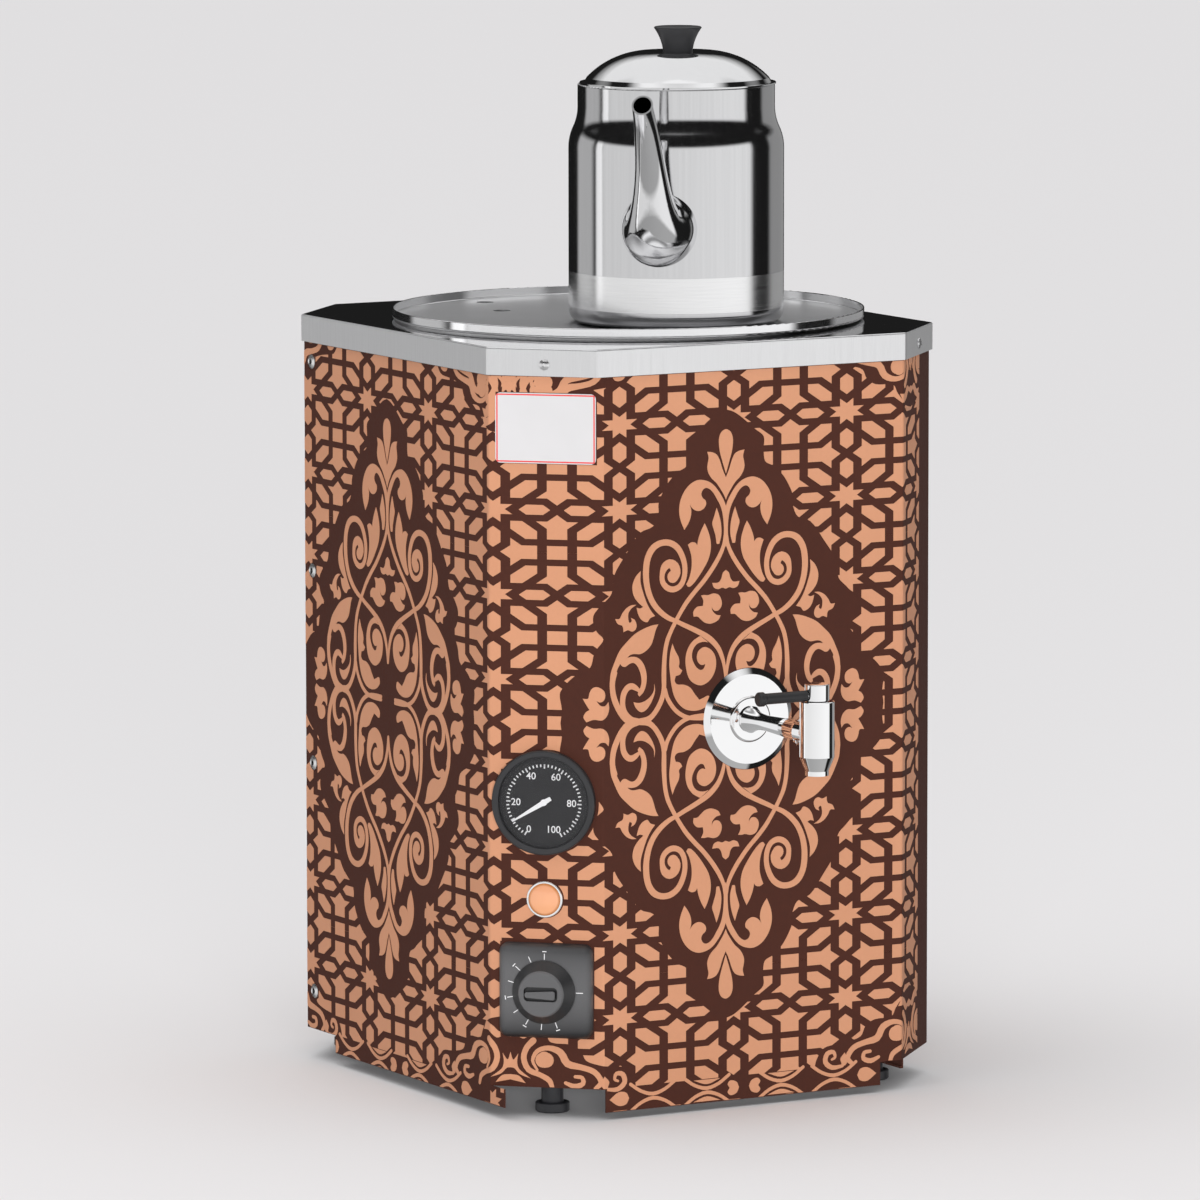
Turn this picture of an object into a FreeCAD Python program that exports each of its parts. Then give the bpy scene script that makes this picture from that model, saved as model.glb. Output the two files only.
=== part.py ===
import FreeCAD, Part
import math
import os

# Electric tea urn with a loose tray on top and a teapot on the tray.
# Units are millimetres, +Z is up, the floor is Z = 0 and the tap faces -Y.
# The pieces are drawn about the upright axis of the casing. ORIGIN_SHIFT then moves them all,
# so that the origin is the middle of the whole urn's box at the floor.

Vector = FreeCAD.Vector
UP = Vector(0, 0, 1)

# Sheet metal casing
COLLAR_WIDTH = 300.0        # across the flats, left to right
COLLAR_DEPTH = 324.0        # across the flats, front to back
COLLAR_LEG = 46.6           # leg of each 45 degree corner of the collar
COLLAR_TOP = 448.8
COLLAR_SKIRT = 16.0
COLLAR_EDGE = 1.0           # outside radius of the fold round the top
SHEET = 1.0
BEND_RADIUS = 1.0           # inside radius of a bend
COLLAR_LAP = 1.6            # how far the casing stands inside the collar's outer face
GAUGE_LEG_X = 49.8          # the gauge corner is a little wider than the others
GAUGE_LEG_Y = 45.1
HEM_Z = 18.2                # lower edge of the bent walls
SIDE_SKIRT_Z = 7.5          # lower edges of the skirts that reach down between the feet
TAP_SKIRT_Z = 4.5
SKIRT_LENGTH = 210.2        # skirts of the left and right faces
SKIRT_OVERRUN = 16.2        # how far the left skirt runs on past the gauge corner's bend
TAP_SKIRT_START = 1.7       # skirt of the tap face, from its left bend
TAP_SKIRT_LENGTH = 185.0
RETURN_TAB = 24.0           # turned-in tab under the tap face's right corner
RETURN_TAB_DROP = 5.7
RETURN_TAB_OFFSET = 3.0     # from the corner's bend
RETURN_TAB_HEM = 1.4        # its lower edge, folded double
SEAM_FLANGE = 20.0          # flange behind a riveted seam
SEAM_GAP = 0.1
RIVET_INSET = 9.6
RIVET_HEIGHTS = (41.3, 179.8, 295.8, 421.1)
RIVET_HEAD = 4.3
RIVET_HEAD_HEIGHT = 1.3
RIVET_SHANK = 2.4
RIVET_BORE = 1.6
RIVET_TAIL = 3.2
SCREW_DROP = 9.4            # collar screws, below the collar's top
SCREW_HEAD = 3.1
SCREW_HEAD_HEIGHT = 1.5
SCREW_SHANK = 1.6
SCREW_SOCKET = 2.2          # across the flats
SCREW_LENGTH = 8.0
HOLE_CLEARANCE = 0.15       # radial room of a screw, rivet or fitting in its hole
FIT = 0.1                   # room between pieces that are pushed or dropped together
RUNNING_FIT = 0.05          # radial room of a shaft or plug that turns

# Base and feet
BASE_RIM = 12.0
FOOT_SIDE_INSET = 40.0      # foot axes, inwards from the casing's faces
FOOT_FRONT_INSET = 43.3
FOOT_REAR_INSET = 25.2
FOOT_BASE = 10.0
FOOT_BASE_HEIGHT = 5.7
FOOT_STEM = 6.5
FOOT_GROOVE = 0.8
FOOT_SCREW = 2.0
FOOT_SCREW_DEPTH = 12.0
FOOT_SCREW_HEAD = 4.2
FOOT_SCREW_HEAD_HEIGHT = 2.6
VENT_COUNT = 7
VENT_PITCH = 14.0
VENT_WIDTH = 5.0
VENT_LENGTH = 70.0

# Water tank, hung by its flange in the collar's opening
TANK_RADIUS = 125.0         # inside
TANK_WALL = 1.0
TANK_BOTTOM = 204.0         # underside
TANK_CORNER = 12.0
TANK_DISH = 50.0            # height of the pressed bottom, up to the weld
TANK_FLANGE = 5.0
ELEMENT_RING = 82.0
ELEMENT_TUBE = 4.2
ELEMENT_RISE = 20.0         # height of the ring's axis above the tank's underside
ELEMENT_BEND = 13.0
ELEMENT_GAP_ANGLE = 26.0    # half the ring's opening at the back
ELEMENT_TAIL = 24.0         # below the tank's underside
ELEMENT_PIN = 1.8
ELEMENT_PIN_LENGTH = 9.0
BUSH_FLANGE = 9.0
BUSH_FLANGE_HEIGHT = 2.5
BUSH_NECK = 6.8
NUT_ACROSS = 19.0
NUT_HEIGHT = 5.0
SHEATH_RISE = 40.0          # height of the bulb sheath's axis above the tank's underside
SHEATH_RADIUS = 8.0
SHEATH_WALL = 0.8
SHEATH_INSIDE = 75.0        # reach into the tank from its wall
SHEATH_OUTSIDE = 9.0
BULB_RADIUS = 3.0
BULB_OFFSET = 3.5
BULB_TAPER = 8.0            # from the bulb's shoulder to the end of its overall length
CAPILLARY_BEND = 5.0
CAPILLARY_CLEAR = 6.0       # straight run outside the sheath before the first bend
THERMOMETER_BULB = 66.0
THERMOSTAT_BULB = 73.0
CAPILLARY = 0.9

# Tap
TAP_X = -2.5
TAP_Z = 228.6               # stem axis
TAP_REACH = 79.5            # casing face to the barrel's upright axis
BARREL_RADIUS = 10.1
BARREL_RISE = 19.8          # barrel's top above the stem axis
BARREL_DROP = 12.4          # start of its taper below the stem axis
NOZZLE_DROP = 20.5
NOZZLE_TIP_DROP = 23.2
NOZZLE_RADIUS = 6.8
OUTLET_RADIUS = 4.0
PLUG_RADIUS = 6.0
PLUG_DROP = 16.8            # plug's seat below the stem axis
PLUG_RISE = 13.2            # plug's shoulder above the stem axis
PLUG_PORT = 3.6
PLUG_NECK = 4.0
SPINDLE_BUSH_HEIGHT = 6.0
CAP_RADIUS = 7.15
CAP_HEIGHT = 9.7
CAP_GAP = 0.3
LEVER_RISE = 3.4            # lever axis above the barrel's top
LEVER_ROD = 2.4
LEVER_TIP = 39.6            # from the barrel's axis
GRIP_RADIUS = 3.2
GRIP_TIP_RADIUS = 4.15
GRIP_TIP_LENGTH = 5.0
GRIP_TIP_EDGE = 1.3         # rounding of its end
WATERWAY = 3.4
SHANK_RADIUS = 7.0
STEM_ROOT_RADIUS = 7.8
STEM_WAIST_RADIUS = 4.7
STEM_WAIST = 24.0
STEM_END_RADIUS = 6.4
STEM_RING_START = 62.6
STEM_RING_RADIUS = 8.0
STEM_RING = 1.6
STEM_NECK_RADIUS = 5.6
ROSETTE_RADIUS = 29.6
ROSETTE_FACE = 26.2
ROSETTE_HEIGHT = 2.4
ROSETTE_CROWN = 4.2
ROSETTE_STEP = 13.6
TANK_BOSS_RADIUS = 15.0
TANK_BOSS_OUT = 6.0
TANK_BOSS_IN = 6.0
GASKET_RADIUS = 12.0
GASKET_HEIGHT = 2.0
TAP_NUT_ACROSS = 24.0
TAP_NUT_HEIGHT = 6.0

# Gauge corner, all pieces on its middle line
THERMOMETER_Z = 185.4
THERMOMETER_SHIFT = -1.2    # off the panel's middle line
THERMOMETER_FLANGE = 30.5
THERMOMETER_CASE = 28.4
THERMOMETER_RING = 4.4
THERMOMETER_DEPTH = 22.0
GLASS_INSET = 0.8           # glass below the ring's crest
DIAL_RADIUS = 26.7
DIAL_THICKNESS = 0.6
DIAL_SEAT = 0.9
GLASS_THICKNESS = 0.8
POINTER_TIP = 22.0
POINTER_TAIL = 4.8
POINTER_HUB = 1.9
POINTER_ROOT = 1.15
POINTER_POINT = 0.4
POINTER_THICKNESS = 0.4
POINTER_GAP = 0.35
POINTER_SHAFT = 0.8
POINTER_SHAFT_DEPTH = 5.0
POINTER_ANGLE = 211.5       # rest direction, anticlockwise from the right as seen from outside
CLAMP_RING_HEIGHT = 5.0
CLAMP_RING_RADIUS = 31.4
LAMP_Z = 128.8
LAMP_SHIFT = -0.9
LAMP_FLANGE = 10.7
LAMP_FLANGE_HEIGHT = 2.0
LAMP_LENS = 9.5
LAMP_LENS_SEAT = 1.0        # lens below the flange's face
LAMP_LENS_CROWN = 1.9       # above the flange's face
LAMP_BARREL = 7.0
LAMP_DEPTH = 26.0
LAMP_NUT = 10.5
LAMP_NUT_HEIGHT = 3.0
LAMP_BLADE = 6.0
THERMOSTAT_Z = 75.5
PLATE_SIZE = 55.4
PLATE_CORNER = 5.5
PLATE_HEIGHT = 6.5
PLATE_SHOULDER = 5.2
PLATE_WALL = 1.6
KNOB_RADIUS = 18.5
KNOB_FACE = 12.7
KNOB_RIM = 1.6
KNOB_HEIGHT = 9.5
KNOB_GAP = 0.4
KNOB_SOCKET_DEPTH = 5.0
GRIP_POCKET_LENGTH = 20.0
GRIP_POCKET_WIDTH = 8.4
GRIP_POCKET_DEPTH = 3.2
GRIP_POCKET_CORNER = 2.6
GRIP_WEDGE_CORNER = 1.3
GRIP_WEDGE_NARROW = 3.0
GRIP_WEDGE_WIDE = 5.3
GRIP_WEDGE_DROP = 0.5       # below the pocket's middle
GRIP_WEDGE_END_GAP = 1.6
SHAFT_RADIUS = 3.0
SHAFT_BORE_DEPTH = 12.0
THERMOSTAT_BODY = 40.0
THERMOSTAT_DEPTH = 28.0
THERMOSTAT_SCREW_SPACING = 28.0
THERMOSTAT_SCREW_HEAD = 3.4
THERMOSTAT_SCREW_HEAD_HEIGHT = 2.2
BADGE_Z = 402.5
BADGE_WIDTH = 59.3
BADGE_HEIGHT = 40.6
BADGE_THICKNESS = 0.8
BADGE_CORNER = 3.0

# Mains inlet and parts on the base
GLAND_X = -70.0
GLAND_Z = 60.0
GLAND_THREAD = 8.0
GLAND_ACROSS = 22.0
GLAND_HEX = 5.0
GLAND_LENGTH = 19.0
GLAND_BORE = 3.6
GLAND_DOME = 9.5
TERMINAL_POLES = 3
TERMINAL_PITCH = 11.0
TERMINAL_WIDTH = 18.0
TERMINAL_HEIGHT = 16.0
TERMINAL_Y = 70.0
EARTH_X = 45.0
EARTH_STUD = 2.5
EARTH_STUD_LENGTH = 16.0
CUTOUT_RADIUS = 8.0
CUTOUT_HEIGHT = 7.0
CUTOUT_FLANGE = 12.0
CUTOUT_Y = -40.0

# Tray, a loose spun lid that lies off centre on the collar
TRAY_X = 6.6
TRAY_Y = -3.7
TRAY_RADIUS = 140.0
TRAY_SHEET = 0.9
TRAY_WALL_HEIGHT = 5.1      # above its floor
TRAY_CORNER = 1.6
TRAY_RING_PLAY = 10.0       # locating ring under the tray, to the tank's wall
TRAY_RING_DROP = 9.0
TRAY_RING_FLANGE = 6.0
STEAM_HOLE = 5.2
STEAM_HOLES = ((118.0, 107.4), (79.8, 130.9))   # radius and angle from the tray's middle

# Teapot, which stands forward of the tray's middle
POT_FORWARD = 54.0          # from the tray's middle towards the tap
POT_RIGHT = 2.0
POT_TURN = -129.5           # direction of the spout
POT_WALL = 1.0
POT_RADIUS = 63.3
POT_NECK = 57.9
POT_CORNER = 8.5            # radius of the rounded bottom edge
POT_SHOULDER = 103.4        # heights above the pot's underside
POT_NECK_Z = 127.4
POT_RIM = 140.0
POT_BEAD = 0.9
SPOUT_BASE = 60.0           # height of the spout's root
SPOUT_HOLE = 11.0
SPOUT_WALL = 1.0
SPOUT_ROOT_RADIUS = 22.2
SPOUT_MOUTH_RADIUS = 6.2
SPOUT_MOUTH = 51.3          # mouth centre, out from the pot's side
SPOUT_MOUTH_Z = 136.0
SPOUT_MOUTH_SLOPE = 47.0    # rise of the tube's axis at the mouth
SPOUT_CUT_TILT = 33.0       # the mouth's face leans back from upright by this angle
# Along the gooseneck: out from the pot's side, up from its root, rise, share of the root's radius
SPOUT_BENDS = ((12.5, 6.5, 34, 0.72), (20.5, 27.0, 66, 0.47), (31.0, 50.0, 61, 0.36), (41.0, 64.8, 52, 0.31))
SPOUT_TRIM = 6.0            # drawn this far past the mouth before it is cut
HANDLE_REACH = 39.7         # the handle's middle line, out from the pot's side
HANDLE_TOP = 118.0
HANDLE_BOTTOM = 42.0
HANDLE_RADIUS = 8.0
HANDLE_BEND = 22.0
HANDLE_LEAN = 4.0           # how much nearer its lower corner is
HANDLE_START = 11.7         # its ends, out from the pot's side
BRACKET_THICKNESS = 2.0
BRACKET_WIDTH = 16.0
BRACKET_HEIGHT = 20.0
BRACKET_PIN = 3.0

# Teapot lid and its knob
LID_OFF_X = 0.8             # the loose lid lies a little to one side of the pot's axis
LID_OFF_Y = -0.5
LID_SHEET = 0.8
LID_LIP_RADIUS = 57.6
LID_EDGE_RADIUS = 53.6
LID_EDGE_RISE = 3.4
LID_CREST_RADIUS = 24.0     # the dome's highest ring
LID_CREST_RISE = 18.6
LID_BULGE = 2.6             # of the dome above a straight line
LID_DISH = 1.0              # the middle lies this far below the crest
LID_DISH_RADIUS = 10.5
LID_PLUG_RADIUS = 55.5
LID_PLUG_DEPTH = 7.0
LID_KNOB_NECK = 8.6
LID_KNOB_WAIST = 9.9
LID_KNOB_TOP = 14.0
LID_KNOB_LIP = 14.8         # height of its widest ring
LID_KNOB_RISE = 16.0
LID_SCREW = 2.0
LID_SCREW_HEAD = 4.0
LID_SCREW_HEAD_HEIGHT = 2.0
LID_SCREW_DEPTH = 9.0

# Sizes that follow from those above
BODY_HALF_X = COLLAR_WIDTH / 2 - COLLAR_LAP
BODY_HALF_Y = COLLAR_DEPTH / 2 - COLLAR_LAP
BODY_LEG = COLLAR_LEG - COLLAR_LAP * (2 - math.sqrt(2))
WALL_TOP = COLLAR_TOP - SHEET - FIT
BARREL_Y = -BODY_HALF_Y - TAP_REACH
FRONT_REACH = BODY_HALF_Y + TAP_REACH + BARREL_RADIUS
REAR_REACH = BODY_HALF_Y + GLAND_LENGTH
ORIGIN_SHIFT = Vector(0, (FRONT_REACH - REAR_REACH) / 2, 0)
BARREL_TOP = TAP_Z + BARREL_RISE
PLUG_SEAT = TAP_Z - PLUG_DROP
PLUG_SHOULDER = TAP_Z + PLUG_RISE
LEVER_Z = BARREL_TOP + LEVER_RISE
TRAY_Z = COLLAR_TOP + TANK_WALL
POT_Z = TRAY_Z + TRAY_SHEET
POT_X = TRAY_X + POT_RIGHT
POT_Y = TRAY_Y - POT_FORWARD
HANDLE_ENDS = -POT_RADIUS - HANDLE_START
LID_SEAT = POT_RIM + POT_BEAD
LID_CREST = LID_SEAT + LID_CREST_RISE


# Drawing helpers

def profile_face(start, *steps):
    """Face in the XZ plane. A step is a point, or a pair (point on an arc, its end point)."""
    here = Vector(start[0], 0, start[1])
    first = here
    edges = []
    for step in steps:
        if isinstance(step[0], tuple):
            middle = Vector(step[0][0], 0, step[0][1])
            end = Vector(step[1][0], 0, step[1][1])
            edges.append(Part.Arc(here, middle, end).toShape())
        else:
            end = Vector(step[0], 0, step[1])
            edges.append(Part.LineSegment(here, end).toShape())
        here = end
    if (here - first).Length > 1e-6:
        edges.append(Part.LineSegment(here, first).toShape())
    return Part.Face(Part.Wire(edges))


def turned(start, *steps):
    """Solid of revolution about Z from a profile of (radius, height) steps."""
    return profile_face(start, *steps).revolve(Vector(0, 0, 0), UP, 360)


def dome(radius, base, crown):
    """Step for turned(): spherical cap from (radius, base) to the crown on the axis."""
    height = crown - base
    sphere = (radius ** 2 + height ** 2) / (2 * height)
    half_angle = math.asin(radius / sphere) / 2
    middle = (sphere * math.sin(half_angle), crown - sphere * (1 - math.cos(half_angle)))
    return (middle, (0, crown))


def fillet_middle(centre, radius, quadrant):
    """Middle of a quarter arc about a centre; the quadrant gives its signs."""
    reach = radius * math.sqrt(0.5)
    return (centre[0] + quadrant[0] * reach, centre[1] + quadrant[1] * reach)


def disc(radius, low, high):
    return Part.makeCylinder(radius, high - low, Vector(0, 0, low), UP)


def ring(outer, inner, low, high):
    return disc(outer, low, high).cut(disc(inner, low - 1, high + 1))


def block(x0, x1, y0, y1, z0, z1):
    return Part.makeBox(x1 - x0, y1 - y0, z1 - z0, Vector(x0, y0, z0))


def hexagon(across, low, high):
    corners = []
    for step in range(7):
        angle = math.radians(60 * step + 30)
        corners.append(Vector(math.cos(angle), math.sin(angle), 0) * (across / math.sqrt(3)))
    prism = Part.Face(Part.makePolygon(corners)).extrude(Vector(0, 0, high - low))
    prism.translate(Vector(0, 0, low))
    return prism


def placed(shape, placement):
    result = shape.copy()
    result.Placement = placement.multiply(result.Placement)
    return result


def panel_placement(start, end, height, shift=0.0):
    """Local X runs along a panel from start to end, Y is up and Z points out of the casing."""
    along = (end - start).normalize()
    out = along.cross(UP)
    middle = (start + end) * 0.5 + along * shift + UP * height
    matrix = FreeCAD.Matrix(
        along.x, UP.x, out.x, middle.x,
        along.y, UP.y, out.y, middle.y,
        along.z, UP.z, out.z, middle.z,
        0, 0, 0, 1)
    return FreeCAD.Placement(matrix)


def octagon(half_x, half_y, leg, front_left=None):
    """Corners anticlockwise from the rear end of the left face; front_left gives its own legs."""
    leg_x, leg_y = front_left or (leg, leg)
    return [
        Vector(-half_x, half_y - leg, 0), Vector(-half_x, -half_y + leg_y, 0),
        Vector(-half_x + leg_x, -half_y, 0), Vector(half_x - leg, -half_y, 0),
        Vector(half_x, -half_y + leg, 0), Vector(half_x, half_y - leg, 0),
        Vector(half_x - leg, half_y, 0), Vector(-half_x + leg, half_y, 0)]


def inward(points, distance, closed=False):
    """Polyline moved to its left, towards the inside of an anticlockwise outline."""
    count = len(points)
    result = []
    for index in range(count):
        before = points[index] - points[index - 1]
        after = points[(index + 1) % count] - points[index]
        if not closed and index == 0:
            before = after
        if not closed and index == count - 1:
            after = before
        left_a = UP.cross(before).normalize()
        left_b = UP.cross(after).normalize()
        bisector = (left_a + left_b).normalize()
        result.append(points[index] + bisector * (distance / bisector.dot(left_a)))
    return result


def rounded_edges(points, radius, closed=False):
    """Straight edges joined by tangent arcs of one radius at each corner."""
    count = len(points)
    inner = range(count) if closed else range(1, count - 1)
    starts = {}
    ends = {}
    edges = []
    for index in inner:
        back = (points[index - 1] - points[index]).normalize()
        ahead = (points[(index + 1) % count] - points[index]).normalize()
        half_turn = (math.pi - back.getAngle(ahead)) / 2
        reach = radius * math.tan(half_turn)
        arc_start = points[index] + back * reach
        arc_end = points[index] + ahead * reach
        middle_dir = (back + ahead).normalize()
        middle = points[index] + middle_dir * (radius / math.cos(half_turn) - radius)
        edges.append(Part.Arc(arc_start, middle, arc_end).toShape())
        ends[index] = arc_start
        starts[index] = arc_end
    for index in range(count if closed else count - 1):
        begin = starts.get(index, points[index])
        end = ends.get((index + 1) % count, points[(index + 1) % count])
        edges.append(Part.LineSegment(begin, end).toShape())
    return edges


def bent_sheet(points, low, high):
    """Upright sheet whose outer face follows the points, with a radius at each bend."""
    inside = inward(points, SHEET)
    edges = rounded_edges(points, BEND_RADIUS + SHEET) + rounded_edges(inside, BEND_RADIUS)
    edges.append(Part.LineSegment(points[0], inside[0]).toShape())
    edges.append(Part.LineSegment(points[-1], inside[-1]).toShape())
    face = Part.Face(Part.Wire(Part.__sortEdges__(edges)))
    sheet = face.extrude(Vector(0, 0, high - low))
    sheet.translate(Vector(0, 0, low))
    return sheet


def rounded_prism(points, radius, low, high):
    wire = Part.Wire(Part.__sortEdges__(rounded_edges(points, radius, closed=True)))
    prism = Part.Face(wire).extrude(Vector(0, 0, high - low))
    prism.translate(Vector(0, 0, low))
    return prism


def route(points, bend):
    """Wire of straight runs joined by arcs, in space."""
    edges = []
    here = points[0]
    for index in range(1, len(points) - 1):
        back = (points[index - 1] - points[index]).normalize()
        ahead = (points[index + 1] - points[index]).normalize()
        half_turn = (math.pi - back.getAngle(ahead)) / 2
        reach = bend * math.tan(half_turn)
        middle = points[index] + (back + ahead).normalize() * (bend / math.cos(half_turn) - bend)
        arc_start = points[index] + back * reach
        arc_end = points[index] + ahead * reach
        edges.append(Part.LineSegment(here, arc_start).toShape())
        edges.append(Part.Arc(arc_start, middle, arc_end).toShape())
        here = arc_end
    edges.append(Part.LineSegment(here, points[-1]).toShape())
    return Part.Wire(edges)


def pipe(wire, radius):
    start = wire.Edges[0].Vertexes[0].Point
    direction = wire.Edges[0].tangentAt(wire.Edges[0].FirstParameter)
    section = Part.Wire(Part.makeCircle(radius, start, direction))
    return wire.makePipeShell([section], True, True)


# Outlines and places that several pieces share

def body_corners():
    return octagon(BODY_HALF_X, BODY_HALF_Y, BODY_LEG, (GAUGE_LEG_X, GAUGE_LEG_Y))


def collar_corners():
    return octagon(COLLAR_WIDTH / 2, COLLAR_DEPTH / 2, COLLAR_LEG)


def corner_panels(corners):
    """Start and end of the four corner panels, gauge corner first."""
    return [(corners[index], corners[(index + 1) % 8]) for index in (1, 3, 5, 7)]


def gauge_place(height, shift=0.0):
    corners = body_corners()
    return panel_placement(corners[1], corners[2], height, shift)


def thermometer_place():
    return gauge_place(THERMOMETER_Z, THERMOMETER_SHIFT)


def lamp_place():
    return gauge_place(LAMP_Z, LAMP_SHIFT)


def gauge_radius():
    """Distance of the gauge panel's outer face from the casing's axis, along the panel's normal."""
    return gauge_place(0).inverse().multVec(Vector(0, 0, 0)).z * -1


def tap_place():
    return panel_placement(Vector(TAP_X - 1, -BODY_HALF_Y, 0), Vector(TAP_X + 1, -BODY_HALF_Y, 0), TAP_Z)


def gland_place():
    rear = BODY_HALF_Y
    return panel_placement(Vector(GLAND_X + 1, rear, 0), Vector(GLAND_X - 1, rear, 0), GLAND_Z)


def collar_screw_places():
    """On the collar's corner panels, opposite the middles of the casing's corner panels."""
    places = []
    for collar_panel, body_panel in zip(corner_panels(collar_corners()), corner_panels(body_corners())):
        middle = (body_panel[0] + body_panel[1]) * 0.5
        shift = panel_placement(*collar_panel, 0).inverse().multVec(middle).x
        places.append(panel_placement(*collar_panel, COLLAR_TOP - SCREW_DROP, shift))
    return places


def rivet_places():
    corners = body_corners()
    left = corners[0].y - RIVET_INSET
    right = corners[4].y + RIVET_INSET
    places = []
    for height in RIVET_HEIGHTS:
        places.append(panel_placement(
            Vector(-BODY_HALF_X, left + 1, 0), Vector(-BODY_HALF_X, left - 1, 0), height))
        places.append(panel_placement(
            Vector(BODY_HALF_X, right - 1, 0), Vector(BODY_HALF_X, right + 1, 0), height))
    return places


def foot_places():
    return [Vector(side * (BODY_HALF_X - FOOT_SIDE_INSET), y, 0) for side in (-1, 1)
            for y in (FOOT_FRONT_INSET - BODY_HALF_Y, BODY_HALF_Y - FOOT_REAR_INSET)]


def element_leg():
    """Plan position of the right leg of the heating element."""
    angle = math.radians(ELEMENT_GAP_ANGLE)
    tangent = Vector(math.cos(angle), -math.sin(angle), 0)
    return Vector(math.sin(angle), math.cos(angle), 0) * ELEMENT_RING - tangent * ELEMENT_BEND


def pot_placement():
    return FreeCAD.Placement(Vector(POT_X, POT_Y, POT_Z), FreeCAD.Rotation(UP, POT_TURN))


def lid_placement():
    return FreeCAD.Placement(Vector(POT_X + LID_OFF_X, POT_Y + LID_OFF_Y, POT_Z), FreeCAD.Rotation())


def through_holes(shape, places, radius, depth):
    for place in places:
        shape = shape.cut(placed(disc(radius, -depth, depth), place))
    return shape


# Casing

def skirt(start, end, low):
    along = (end - start).normalize()
    thick = UP.cross(along) * SHEET
    face = Part.Face(Part.makePolygon([start, end, end + thick, start + thick, start]))
    plate = face.extrude(Vector(0, 0, HEM_Z - low))
    plate.translate(Vector(0, 0, low))
    return plate


def front_casing():
    """Bent sheet of the left face, gauge corner, tap face and right front corner."""
    left_end, gauge_a, gauge_b, tap_end, right_end = body_corners()[:5]
    flange_x = BODY_HALF_X - SHEET - SEAM_GAP
    slope = (right_end - tap_end).normalize()
    flange_start = right_end - slope * ((right_end.x - flange_x) / slope.x)
    flange_end = flange_start + Vector(0, SEAM_FLANGE, 0)
    free_end = left_end - Vector(0, FIT, 0)
    sheet = bent_sheet([free_end, gauge_a, gauge_b, tap_end, flange_start, flange_end], HEM_Z, WALL_TOP)
    skirt_end = gauge_a - Vector(0, SKIRT_OVERRUN, 0)
    left_skirt = skirt(skirt_end + Vector(0, SKIRT_LENGTH, 0), skirt_end, SIDE_SKIRT_Z)
    tap_start = gauge_b + Vector(TAP_SKIRT_START, 0, 0)
    tap_skirt = skirt(tap_start, tap_start + Vector(TAP_SKIRT_LENGTH, 0, 0), TAP_SKIRT_Z)
    tab_low = HEM_Z - RETURN_TAB_DROP
    tab_x = tap_end.x + RETURN_TAB_OFFSET
    tab_y = tap_end.y + RETURN_TAB_OFFSET
    tab = block(tab_x - SHEET, tab_x, tab_y, tab_y + RETURN_TAB, tab_low, HEM_Z)
    tab_hem = block(tab_x - SHEET * 2, tab_x, tab_y, tab_y + RETURN_TAB, tab_low, tab_low + RETURN_TAB_HEM)
    sheet = sheet.fuse([left_skirt, tap_skirt, tab, tab_hem]).removeSplitter()
    sheet = through_holes(sheet, [tap_place()], SHANK_RADIUS + HOLE_CLEARANCE, SHEET * 2)
    sheet = through_holes(
        sheet, [thermometer_place()], THERMOMETER_CASE + HOLE_CLEARANCE, SHEET * 2)
    sheet = through_holes(sheet, [lamp_place()], LAMP_BARREL + HOLE_CLEARANCE, SHEET * 2)
    sheet = through_holes(sheet, [gauge_place(THERMOSTAT_Z)], SHAFT_RADIUS + 1, SHEET * 2)
    for side in (-1, 1):
        offset = FreeCAD.Placement(
            Vector(side * THERMOSTAT_SCREW_SPACING / 2, 0, 0), FreeCAD.Rotation())
        place = gauge_place(THERMOSTAT_Z).multiply(offset)
        sheet = through_holes(sheet, [place], SCREW_SHANK + HOLE_CLEARANCE, SHEET * 2)
    sheet = through_holes(sheet, rivet_places(), RIVET_SHANK + HOLE_CLEARANCE, SHEET * 4)
    return through_holes(sheet, collar_screw_places(), SCREW_SHANK + HOLE_CLEARANCE, SCREW_LENGTH)


def rear_casing():
    """Bent sheet of the right face, rear corners and back."""
    corners = body_corners()
    left_end = corners[0]
    rear_left = corners[7]
    flange_x = -BODY_HALF_X + SHEET + SEAM_GAP
    slope = (left_end - rear_left).normalize()
    flange_start = left_end - slope * ((left_end.x - flange_x) / slope.x)
    flange_end = flange_start - Vector(0, SEAM_FLANGE, 0)
    free_end = corners[4] + Vector(0, SHEET, 0)
    path = [free_end, corners[5], corners[6], rear_left, flange_start, flange_end]
    sheet = bent_sheet(path, HEM_Z, WALL_TOP)
    half_skirt = SKIRT_LENGTH / 2
    right_skirt = skirt(Vector(BODY_HALF_X, -half_skirt + SKIRT_OVERRUN, 0),
                        Vector(BODY_HALF_X, half_skirt - SKIRT_OVERRUN, 0), SIDE_SKIRT_Z)
    half_rear = TAP_SKIRT_LENGTH / 2
    rear_skirt = skirt(
        Vector(half_rear, BODY_HALF_Y, 0), Vector(-half_rear, BODY_HALF_Y, 0), SIDE_SKIRT_Z)
    sheet = sheet.fuse([right_skirt, rear_skirt]).removeSplitter()
    sheet = through_holes(sheet, [gland_place()], GLAND_THREAD + HOLE_CLEARANCE, SHEET * 2)
    sheet = through_holes(sheet, rivet_places(), RIVET_SHANK + HOLE_CLEARANCE, SHEET * 4)
    return through_holes(sheet, collar_screw_places(), SCREW_SHANK + HOLE_CLEARANCE, SCREW_LENGTH)


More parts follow.
